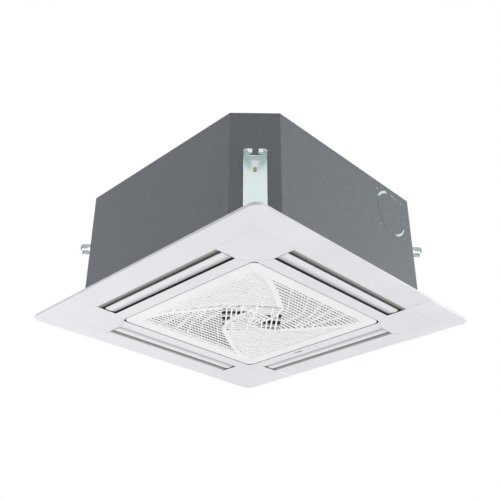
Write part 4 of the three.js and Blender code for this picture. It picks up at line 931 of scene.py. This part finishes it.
class CASSETTE_OT_panel(bpy.types.Operator):
    """Decorative panel with its outlets, scoops, corner covers and seal"""
    bl_idname = "cassette.panel"
    bl_label = "Panel"

    def execute(self, context):
        panel = context.scene.cassette_panel
        outlets = context.scene.cassette_outlets
        white = moulded_abs("white_abs", panel.colour)
        # Painted shadow: the walls of the gap round the grille are near black where shade falls.
        shade = matt_plastic("shadow_gap_panel", linear("#17181A"), 0.8)
        body = carved(self.shell(panel), *self.cutters(panel, outlets))
        near = outlets.inner - 0.0004
        far = outlets.inner + outlets.width + outlets.flare_width - 0.0002

        def in_gap(centre, normal):
            out = max(abs(centre.x), abs(centre.y))
            inwards = centre.x * normal.x + centre.y * normal.y < 0
            return out < 0.1985 and inwards and centre.z > -panel.drop + 0.0003

        def in_duct(centre, normal):
            out = max(abs(centre.x), abs(centre.y))
            aside = min(abs(centre.x), abs(centre.y))
            return near < out < far and aside < outlets.half + 0.0004 and -panel.drop + 0.0004 < centre.z

        mark_faces(body, in_gap, 1)
        # The outlet's flare and slot walls get the painted shade.
        mark_faces(body, in_duct, 2)
        piece("panel_moulding", body, "unit", "white_plastic", [white, shade, duct_painted_shade(outlets)],
              ["panel_frame"], 25, panel.soft_edge, 3)
        outline = cover_outline(outlets, panel, COVER_GAP)
        cover = prism("cover", outline, -panel.drop, -panel.drop + 0.0022)
        for turns, corner in enumerate(CORNERS):
            piece(f"corner_pad_{corner}", turned_copy(cover, turns), "unit", "white_plastic", white,
                  [f"corner_cover_{corner}"], 30, 0.00025)
        dress("panel_seal", cellular_rubber("cellular_rubber"))
        return {"FINISHED"}

    def shell(self, panel):
        """The panel's outer skin, from its back box over the rounded rim to the flat middle."""
        edge = PANEL_HIGH.x
        back = edge - panel.facet_width
        round_over = 0.0011
        rows = [(back, 0.009, PANEL_HIGH.z), (back, 0.009, 0.0), (edge, panel.corner, 0.0)]
        for i in range(5):
            angle = i / 4 * math.radians(86)
            inset = round_over * (1 - math.cos(angle))
            rows.append((edge - inset, panel.corner - inset, -panel.rim + round_over * (1 - math.sin(angle))))
        rows.append((back, 0.004, -panel.drop))
        return loft("panel", squares(rows))

    def cutters(self, panel, outlets):
        top = PANEL_HIGH.z + 0.001
        low = -panel.drop - 0.002
        floor = -panel.drop + panel.scoop + 0.003
        opening = prism("opening", rounded(GRILLE_HIGH.y + GRILLE_GAP, 0.011), low, top)
        each_side = (
            outlet_cutter(outlets, panel),
            scoop_cutter(outlets, panel),
            prism("seat", cover_outline(outlets, panel, 0.0), low, -panel.drop + 0.0026),
            box_mesh("inner_hollow", (0.2026, -0.145, floor), (outlets.inner - 0.003, 0.145, top)),
            box_mesh("outer_hollow", (0.267, -0.178, 0.0), (0.278, 0.178, top)),
            box_mesh("motor_room", (0.2296, 0.1836, -0.0044), (0.2504, 0.2024, top)),
            prism("screw_way", circle(*SCREW_WAY, 24), -0.0065, 0.0),
        )
        lens = box_mesh("lens_seat", (0.2062, 0.0366, low), (0.214, 0.0604, 0.0))
        lamps = [prism("lamp_seat", circle(LAMP_LINE, y, LAMP_SEAT_RADIUS, 16), low, 0.0) for y in LAMP_ROW]
        return [opening, *(four(tool.name, tool) for tool in each_side), lens, *lamps]


class CASSETTE_OT_vanes(bpy.types.Operator):
    """Swing vanes in the four outlets, with their motors"""
    bl_idname = "cassette.vanes"
    bl_label = "Vanes"

    def execute(self, context):
        panel = context.scene.cassette_panel
        outlets = context.scene.cassette_outlets
        white = vane_face(outlets, panel.colour)
        tin = drawn_metal("motor_can", linear("#B9BDC2"), 0.34)
        vane = self.vane(panel, outlets)
        for turns, side in enumerate(SIDES):
            piece(f"air_vane_{side}", turned_copy(vane, turns), f"vane_{side}", "white_plastic", white,
                  [f"vane_{side}"], 35)
            dress(f"vane_motor_{side}", tin)
        return {"FINISHED"}

    def vane(self, panel, outlets):
        """The right side's vane: a curled blade, an ear at each end, and the pins it turns on."""
        low = -panel.drop + 0.0006
        inner = outlets.inner + 0.0016
        outer = outlets.inner + outlets.width - 0.0004
        half = outlets.half - 0.0025
        thick = 0.0019
        steps = 20
        under = []
        for i in range(steps + 1):
            t = i / steps
            curl = 0.0030 * (1 - t) ** 3 + 0.0011 * max(t - 0.45, 0) ** 2 / 0.3
            under.append((inner + (outer - inner) * t, low + curl))
        first, rest = under[0], under[1:]
        over = [(first[0] + thick, first[1] + thick * 0.1)] + [(n, z + thick) for n, z in rest]
        blade = bar("vane", under + over[::-1], -half, half)
        x, z = outlets.inner + 0.012, 0.006
        ear = [(x - 0.002, low + 0.001), (x + 0.009, low + 0.001), (x + 0.004, z), (x + 0.002, z + 0.004),
               (x - 0.002, z + 0.004), (x - 0.004, z)]
        ears = [bar("ear", ear, start, start + 0.003) for start in (-half, half - 0.003)]
        ends = [(-0.183, -half + 0.001), (half - 0.001, 0.19)]
        pins = [rod("pin", (x, start, z), (x, stop, z), 0.003, 24) for start, stop in ends]
        return joined("vane", blade, *ears, *pins)


class CASSETTE_OT_signals(bpy.types.Operator):
    """Signal window and lamp marks on the panel's border"""
    bl_idname = "cassette.signals"
    bl_label = "Signals"

    def execute(self, context):
        lens = signal_lens("smoked_polycarbonate")
        window = cad_copy("signal_window")
        piece("signal_lens", window, "unit", "signal_grey", lens, ["signal_window"], 30, 0.0004, 3)
        low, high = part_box("light_guide")
        guide = [
            rod("peg", (LAMP_LINE, y, -0.008), (LAMP_LINE, y, -0.0025), LAMP_RADIUS, 20) for y in LAMP_ROW]
        guide.append(box_mesh("bar", (low.x, low.y, high.z - 0.002), high))
        piece("lamp_guide", joined("lamp_guide", *guide), "unit", "signal_grey", lens, ["light_guide"], 30)
        dress("display_board", circuit_laminate("circuit_laminate"))
        return {"FINISHED"}


# ---- Intake grille ---------------------------------------------------------------------------

# Half width of the field that the grille's dish and swirl fill
FIELD = 0.178
# How far a sector lies proud of the dish at its ridge, and how far the face lies above the grille's lowest point
PROUD = 0.0026
FACE_RISE = 0.0003
CATCH_SPREAD = 0.11
# The hinge pins' axis in Y and Z, where they start in X, and their radius
HINGE = (0.191, -0.0045)
PIN_START = 0.181
PIN_RADIUS = 0.0018
# The ridge between the front and the right sector, in metres, from the grille's corner to the diamond
RIDGE = (
    (0.178, -0.178), (0.1765, -0.160), (0.172, -0.141), (0.166, -0.121), (0.158, -0.105), (0.150, -0.091),
    (0.140, -0.075), (0.131, -0.060), (0.121, -0.044), (0.110, -0.028), (0.099, -0.012), (0.0915, 0.002),
)
# The cross fins of the front sector, from the border inwards
FINS = (
    ((-0.118, -0.178), (-0.085, -0.148), (-0.050, -0.118), (-0.018, -0.088)),
    ((-0.066, -0.178), (-0.026, -0.132), (0.004, -0.102), (0.029, -0.075)),
    ((-0.014, -0.178), (0.010, -0.150), (0.035, -0.121), (0.060, -0.088), (0.068, -0.024)),
    ((0.032, -0.178), (0.052, -0.146), (0.069, -0.117), (0.084, -0.088), (0.096, -0.040)),
    ((0.076, -0.178), (0.084, -0.146), (0.091, -0.117), (0.100, -0.088), (0.106, -0.046)),
    ((0.122, -0.178), (0.122, -0.146), (0.121, -0.117), (0.120, -0.088), (0.118, -0.070)),
)
# The ridges of the diamond and of the small square in the middle, each in its own upright frame
DIAMOND_RIDGE = (
    (0.0640, -0.0640), (0.0626, -0.056), (0.0605, -0.046), (0.0575, -0.034), (0.0523, -0.0185),
    (0.0455, -0.008), (0.038, 0.003), (0.0302, 0.0114),
)
SQUARE_RIDGE = ((0.030, -0.030), (0.028, -0.024), (0.024, -0.017), (0.014, -0.003), (0.004, 0.010))


def across(points, y):
    """Where a line of points reaches a value of Y."""
    ordered = sorted(points, key=lambda point: point[1])
    for low, high in zip(ordered, ordered[1:]):
        if low[1] <= y <= high[1]:
            return low[0] + (y - low[1]) / (high[1] - low[1]) * (high[0] - low[0])
    return ordered[0][0] if y < ordered[0][1] else ordered[-1][0]


def smooth_line(points, steps=6):
    """A smooth curve through points, as a denser line of points."""
    ends = [tuple(2 * a - b for a, b in zip(points[0], points[1]))] + list(points)
    ends.append(tuple(2 * a - b for a, b in zip(points[-1], points[-2])))
    line = []
    for i in range(1, len(ends) - 2):
        for k in range(steps):
            t = k / steps
            line.append(tuple(
                0.5 * (2 * b + (c - a) * t + (2 * a - 5 * b + 4 * c - d) * t * t
                       + (3 * b - a - 3 * c + d) * t ** 3)
                for a, b, c, d in zip(*ends[i - 1:i + 3])))
    line.append(tuple(points[-1]))
    return line


class Swirl:
    """One square of four swirled sectors: its front sector is drawn, and the strips tree repeats it."""

    def __init__(self, ridge, first, inner, turn, pitch, band, level):
        self.ridge = smooth_line(ridge)
        self.left = [(y, -x) for x, y in self.ridge] + [self.ridge[-1]]
        self.half = ridge[0][0]
        self.first = first
        self.inner = inner
        self.turn = Matrix.Rotation(turn, 2)
        self.pitch = pitch
        self.band = band
        self.level = level

    def span(self, y):
        """Where the sector begins and ends at a value of Y."""
        return across(self.left, y), across(self.ridge, y) - self.band

    def place(self, x, y, rise):
        """A point of the sector with its height, turned into the grille's frame."""
        left, right = self.span(y)
        share = min(max((x - left) / max(right - left, 0.001), 0), 1)
        spot = self.turn @ Vector((x, y))
        return spot.x, spot.y, self.level(spot.x, spot.y, share) + rise

    def slats(self, depth):
        """Rows across the sector at an even pitch, each a little longer than the sector is wide."""
        lap = 0.001
        rows = []
        y = self.first
        while y < self.inner:
            left, right = self.span(y)
            if right - left > 0.003:
                count = max(2, int((right - left) / 0.008))
                steps = [left - lap + (right - left + 2 * lap) * i / count for i in range(count + 1)]
                rows.append([self.place(x, y, depth / 2) for x in steps])
            y += self.pitch
        return rows

    def walls(self, lines, rise, depth):
        """Upright walls along lines, kept where they lie inside the sector."""
        lap = 0.0015
        made = []
        for line in lines:
            kept = []
            for x, y in smooth_line(line, 5):
                left, right = self.span(y)
                if left - lap <= x <= right + lap:
                    kept.append(self.place(x, y, rise + depth / 2))
            if len(kept) > 1:
                made.append(kept)
        return made

    def leaning(self, spacing):
        """Straight lines that lean across the whole sector, at one spacing."""
        ahead = Vector((0.72, 0.69)).normalized()
        aside = Vector((ahead.y, -ahead.x))
        reach = self.half * 1.5
        steps = 240
        lines = []
        count = int(reach / spacing)
        for k in range(-count, count + 1):
            start = aside * (spacing * k) - ahead * reach
            points = [start + ahead * reach * 2 * i / steps for i in range(steps + 1)]
            run = [(p.x, p.y) for p in points if self.holds(p.x, p.y)]
            if len(run) > 2:
                lines.append((run[0], run[len(run) // 2], run[-1]))
        return lines

    def holds(self, x, y):
        left, right = self.span(y)
        return -self.half < y < self.inner and left < x < right

    def petal(self, rise, depth):
        """The smooth band beside the ridge, and the ridge's own edge."""
        band = [self.place(x - self.band / 2, y, rise + 0.0011) for x, y in self.ridge]
        edge = [self.place(x - 0.0007, y, rise + depth / 2) for x, y in self.ridge]
        return [band], [edge]


class CASSETTE_OT_grille(bpy.types.Operator):
    """Swirled intake grille with its hinge pins"""
    bl_idname = "cassette.grille"
    bl_label = "Intake grille"

    def execute(self, context):
        self.settings = context.scene.cassette_grille
        colour = self.settings.colour
        # Painted light: the grille's white glows faintly, and the thin leaning ribs and the diamond's deep slats
        # get copies that glow more, lightening them where they lie in shade.
        white = moulded_abs("white_abs_grille_painted_glow", colour, 0.42, 0.05)
        shade = matt_plastic("shadow_gap", linear("#232427"), 0.7)
        thin = moulded_abs("thin_white_abs_painted_glow", colour, 0.42, 0.34)
        deep = moulded_abs("deep_white_abs_painted_glow", colour, 0.42, 0.2)
        strips = strips_tree()
        parts = [self.border(), *self.pins(), self.hub(), *self.seats()]
        for number, lines, width, depth, corner in self.sets():
            strip = grown("lines", lines, strips, {
                "Width": width, "Depth": depth, "Corner": corner, "Copies": 4, "Material": white,
            })
            strip.polygons.foreach_set("material_index", [number] * len(strip.polygons))
            parts.append(strip)
        whole = joined("grille", *parts)

        # Painted shadow: the grille border's outer upright faces are near black where shade falls in the gap.
        def in_gap(centre, normal):
            outer = max(abs(centre.x), abs(centre.y)) > GRILLE_HIGH.y - 0.0063
            upright = abs(normal.z) < 0.2 and centre.z > GRILLE_LOW.z + 0.0009
            return outer and upright and normal.x * centre.x + normal.y * centre.y > 0

        mark_faces(whole, in_gap, 1)
        piece("grille_moulding", tidied(whole, 1e-7), "grille", "white_plastic", [white, shade, thin, deep],
              ["intake_grille"], 30)
        return {"FINISHED"}

    def level(self, x, y, share):
        """Height of the face: it is dished, and each sector lies proud at its own ridge."""
        reach = min(max(abs(x), abs(y)) / FIELD, 1.0)
        twist = PROUD * min((1 - reach) * 3, 1.0) * (1 - share)
        return GRILLE_LOW.z + FACE_RISE + self.settings.dish * (1 - reach) ** 0.8 + twist

    def sets(self):
        """Material number, lines, and width, depth and corner radius of the strips that follow them."""
        s = self.settings
        outer = Swirl(RIDGE, first=-0.16005, inner=0.0, turn=0.0, pitch=s.pitch, band=0.012, level=self.level)
        diamond = Swirl(DIAMOND_RIDGE, first=-0.0553, inner=-0.02, turn=math.radians(47.5), pitch=0.0104,
                        band=0.006, level=self.level)
        square = Swirl(SQUARE_RIDGE, first=-0.0292, inner=-0.004, turn=0.0, pitch=0.0100, band=0.004,
                       level=self.level)
        leaning = outer.leaning(s.rib_pitch)
        yield 0, outer.slats(s.slat_depth), s.slat_width, s.slat_depth, 0.0004
        yield 0, outer.walls(FINS, -0.0002, 0.0066), s.fin_width, 0.0066, 0.0004
        yield 2, outer.walls(leaning, s.slat_depth, s.rib_depth), s.rib_width, s.rib_depth, 0.0002
        yield 3, diamond.slats(0.0062), 0.0028, 0.0062, 0.0006
        ribs = [((x, -0.066), (x, -0.04), (x, -0.01)) for x in (-0.0265, 0.0074, 0.041)]
        yield 0, diamond.walls(ribs, 0.0002, 0.007), 0.0024, 0.007, 0.0005
        yield 0, square.slats(0.003), 0.0055, 0.003, 0.0005
        ribs = [((x, -0.032), (x, -0.02), (x, 0.0)) for x in (-0.012, 0.001, 0.014)]
        yield 0, square.walls(ribs, 0.0, 0.0044), 0.002, 0.0044, 0.0004
        for swirl, deep in ((outer, 0.0066), (diamond, 0.0062), (square, 0.0044)):
            band, edge = swirl.petal(-0.0001, deep)
            yield 0, band, swirl.band, 0.0022, 0.0008
            yield 0, edge, 0.0014, deep, 0.0004

    def border(self):
        """The smooth frame round the field: a thin wall with a rounded edge and a hollow back."""
        low, high = GRILLE_LOW.z, FILTER_LOW.z - 0.0004
        half = GRILLE_HIGH.y
        field = self.settings.swirl
        edge = 0.0008
        wall = 0.0022
        rows = []
        for i in range(5):
            angle = i / 4 * QUARTER
            inset = edge * (1 - math.sin(angle))
            rows.append((half - inset, 0.015 - inset, low + edge * (1 - math.cos(angle))))
        rows += [
            (half, 0.015, high), (half - wall, 0.0128, high), (half - wall, 0.0128, low + wall),
            (field + wall, 0.004, low + wall), (field + 0.0018, 0.004, high), (field, 0.002, high),
            (field, 0.002, low + 0.0006), (field + 0.0004, 0.0022, low),
        ]
        return loft("border", squares(rows), closed=True)

    def pins(self):
        return [rod("pin", (side * PIN_START, *HINGE), (side * GRILLE_HIGH.x, *HINGE), PIN_RADIUS, 20)
                for side in (-1, 1)]

    def hub(self):
        middle = self.level(0.0, 0.0, 0.5)
        dome = (
            (0.0, 0.004), (0.0, -0.0006), (0.006, -0.0002), (0.0105, 0.0008), (0.0115, 0.0024), (0.0112, 0.004))
        return turned("hub", [(r, middle + z) for r, z in dome], 32)

    def seats(self):
        """The raised seats on the front border that the catches slide on."""
        half = 0.008
        low = FILTER_LOW.z - 0.0014
        for x in (-CATCH_SPREAD, CATCH_SPREAD):
            yield box_mesh("seat", (x - half, -0.1946, low), (x + half, -0.1826, GRILLE_HIGH.z))


class CASSETTE_OT_filter(bpy.types.Operator):
    """Filter net in its frame behind the grille, and the grille's catches"""
    bl_idname = "cassette.filter"
    bl_label = "Filter"

    def execute(self, context):
        settings = context.scene.cassette_grille
        net = matt_plastic("polypropylene_net", settings.filter_colour, 0.6)
        strips = strips_tree()
        half = FILTER_HIGH.x
        field = half - 0.003
        middle = (FILTER_LOW.z + FILTER_HIGH.z) / 2
        count = int(2 * (half - 0.004) / settings.net_pitch)
        threads = [-field + settings.net_pitch * k for k in range(1, count)]
        ribs = (-0.12, -0.06, 0.0, 0.06, 0.12)
        parts = []
        for name, places, z, width, depth, corner in (
            ("threads", threads, middle, 0.0009, 0.0007, 0.0001),
            ("ribs", ribs, middle - 0.0004, 0.0024, 0.0019, 0.0004),
        ):
            parts.append(grown(name, [[(x, -field, z), (x, field, z)] for x in places], strips, {
                "Width": width, "Depth": depth, "Corner": corner, "Copies": 2, "Material": net,
            }))
        parts.append(prism("sheet", rounded(field, 0.005, 6), middle + 0.0005, middle + 0.0008))
        low, high = FILTER_LOW.z, FILTER_HIGH.z
        parts.append(loft("frame", squares([
            (half, 0.0075, low), (half, 0.0075, high), (half - 0.006, 0.0035, high), (half - 0.006, 0.0035, low),
        ], 8), closed=True))
        whole = tidied(joined("filter", *parts), 1e-7)
        piece("filter_net", whole, "grille", "filter_mesh", net, ["air_filter"], 30)
        catch = moulded_abs("grey_abs_catch", linear("#D8DADC"))
        for side in ("left", "right"):
            node = f"grille_catch_{side}"
            piece(f"catch_slide_{side}", cad_copy(node), f"catch_{side}", "white_plastic", catch, [node],
                  30, 0.0008, 3)
        return {"FINISHED"}


# ---- Inside ----------------------------------------------------------------------------------

# The coil's inner face, where its two ends stop beside the corner, and its bend
COIL_INNER = 0.18
COIL_STOP = 0.149
COIL_BEND = 0.042
FIN_WIDTH = 0.0355
FIN_THICKNESS = 0.0003


def copper_tube(name):
    """Drawn copper with a brown tarnish."""
    return drawn_metal(name, linear("#C07B5A"), 0.28, linear("#8A5238"))


class CASSETTE_OT_air_path(bpy.types.Operator):
    """Bell mouth, fan with its motor, and the finned coil"""
    bl_idname = "cassette.air_path"
    bl_label = "Air path"

    def execute(self, context):
        settings = context.scene.cassette_inside
        black = matt_plastic("black_polypropylene", linear("#26272A"), 0.45)
        cad_pieces((
            ("turbo_fan_moulding", "turbo_fan", "fan", "black_plastic", black, 35, 0.0005),
            ("bell_mouth_moulding", "bell_mouth", "unit", "black_plastic", black, 35, 0.0005),
        ))
        dress("fan_motor", matt_plastic("motor_enamel", linear("#3A3C40"), 0.4))
        dress("motor_shaft", drawn_metal("ground_steel", linear("#A9ACAF"), 0.25))
        dress("fan_nut", yellow_zinc("yellow_chromate_nut"))
        fins = drawn_metal("fin_foil", linear("#C4C8CB"), 0.36)
        stack = grown("coil_path", [self.path()], stack_tree(), {
            "Pitch": settings.fin_pitch, "Width": FIN_WIDTH, "Height": COIL_HIGH.z - COIL_LOW.z,
            "Thickness": FIN_THICKNESS, "Material": fins,
        })
        piece("coil_fins", joined("coil", stack), "unit", "fin_aluminium", fins, ["coil"], 30)
        copper = copper_tube("copper_tube")
        for node in ("coil_end_plate_back", "coil_end_plate_right"):
            piece(f"{node}_bends", cad_copy(node), "unit", "copper_pipe", copper, [node], 40)
        return {"FINISHED"}

    def path(self):
        """Along the middle of the coil, past three corners and up to the fourth, which stays open."""
        out = (COIL_HIGH.x + COIL_INNER) / 2
        steps = 10
        bends = rounded(out, COIL_BEND, steps)[steps + 1:]
        return at_height([(COIL_STOP, out), *bends, (out, COIL_STOP)], (COIL_HIGH.z + COIL_LOW.z) / 2)


class CASSETTE_OT_services(bpy.types.Operator):
    """Drain pan, pump, pipes, control gear and cable inlet"""
    bl_idname = "cassette.services"
    bl_label = "Services"

    def execute(self, context):
        foam = expanded_foam("polystyrene_pan", linear("#E9EBE8"))
        white = moulded_abs("white_abs_small", linear("#E8EAEC"))
        grey = matt_plastic("grey_pvc", linear("#8C9194"), 0.35)
        copper = copper_tube("copper_pipe")
        brass = drawn_metal("forged_brass", linear("#C9A84F"), 0.3)
        orange = expanded_foam("float_foam", linear("#D9502A"))
        rubber = matt_plastic("black_rubber", linear("#1B1C1E"), 0.7)
        cad_pieces((
            ("drain_pan_foam", "drain_pan", "unit", "white_foam", foam, 30, 0.0),
            ("pump_body", "drain_pump", "unit", "white_plastic", white, 35, 0.0004),
            ("float_ring", "float", "float", "float_foam", orange, 35, 0.0),
            ("drain_spout", "drain_pipe", "unit", "grey_plastic", grey, 40, 0.0),
            ("gas_line", "gas_pipe", "unit", "copper_pipe", copper, 50, 0.0),
            ("liquid_line", "liquid_pipe", "unit", "copper_pipe", copper, 50, 0.0),
            ("gas_flare_nut_hex", "gas_flare_nut", "unit", "brass_nut", brass, 30, 0.0006),
            ("liquid_flare_nut_hex", "liquid_flare_nut", "unit", "brass_nut", brass, 30, 0.0006),
            ("grommet_ring", "cable_grommet", "unit", "rubber_black", rubber, 40, 0.0006),
        ))
        dress("circuit_board", circuit_laminate("control_board"))
        dress("terminal_block", white)
        return {"FINISHED"}


# ---- Panel in the sidebar, and the run -------------------------------------------------------

GROUPS = (
    ("cassette_stage", StageSettings), ("cassette_casing", CasingSettings), ("cassette_panel", PanelSettings),
    ("cassette_outlets", OutletSettings), ("cassette_grille", GrilleSettings),
    ("cassette_inside", InsideSettings),
)
OPERATORS = (
    CASSETTE_OT_stage, CASSETTE_OT_casing, CASSETTE_OT_hangers, CASSETTE_OT_panel, CASSETTE_OT_vanes,
    CASSETTE_OT_signals, CASSETTE_OT_grille, CASSETTE_OT_filter, CASSETTE_OT_air_path, CASSETTE_OT_services,
)


class CASSETTE_PT_sidebar(bpy.types.Panel):
    """Sizes, colours and pieces of the cassette"""
    bl_idname = "CASSETTE_PT_sidebar"
    bl_label = "Ceiling Cassette"
    bl_space_type = "VIEW_3D"
    bl_region_type = "UI"
    bl_category = "Cassette"

    def draw(self, context):
        for name, group in GROUPS:
            column = self.layout.column(align=True)
            for key in group.__annotations__:
                column.prop(getattr(context.scene, name), key)
        for operator in OPERATORS:
            self.layout.operator(operator.bl_idname)


def register():
    for name, group in GROUPS:
        bpy.utils.register_class(group)
        setattr(bpy.types.Scene, name, PointerProperty(type=group))
    for operator in OPERATORS:
        bpy.utils.register_class(operator)
    bpy.utils.register_class(CASSETTE_PT_sidebar)


def unregister():
    bpy.utils.unregister_class(CASSETTE_PT_sidebar)
    for operator in reversed(OPERATORS):
        bpy.utils.unregister_class(operator)
    for name, group in reversed(GROUPS):
        delattr(bpy.types.Scene, name)
        bpy.utils.unregister_class(group)


def main():
    register()
    for operator in OPERATORS:
        name = operator.bl_idname.split(".")[1]
        if getattr(bpy.ops.cassette, name)() != {"FINISHED"}:
            raise RuntimeError(f"{name} did not finish")


if __name__ == "__main__":
    main()
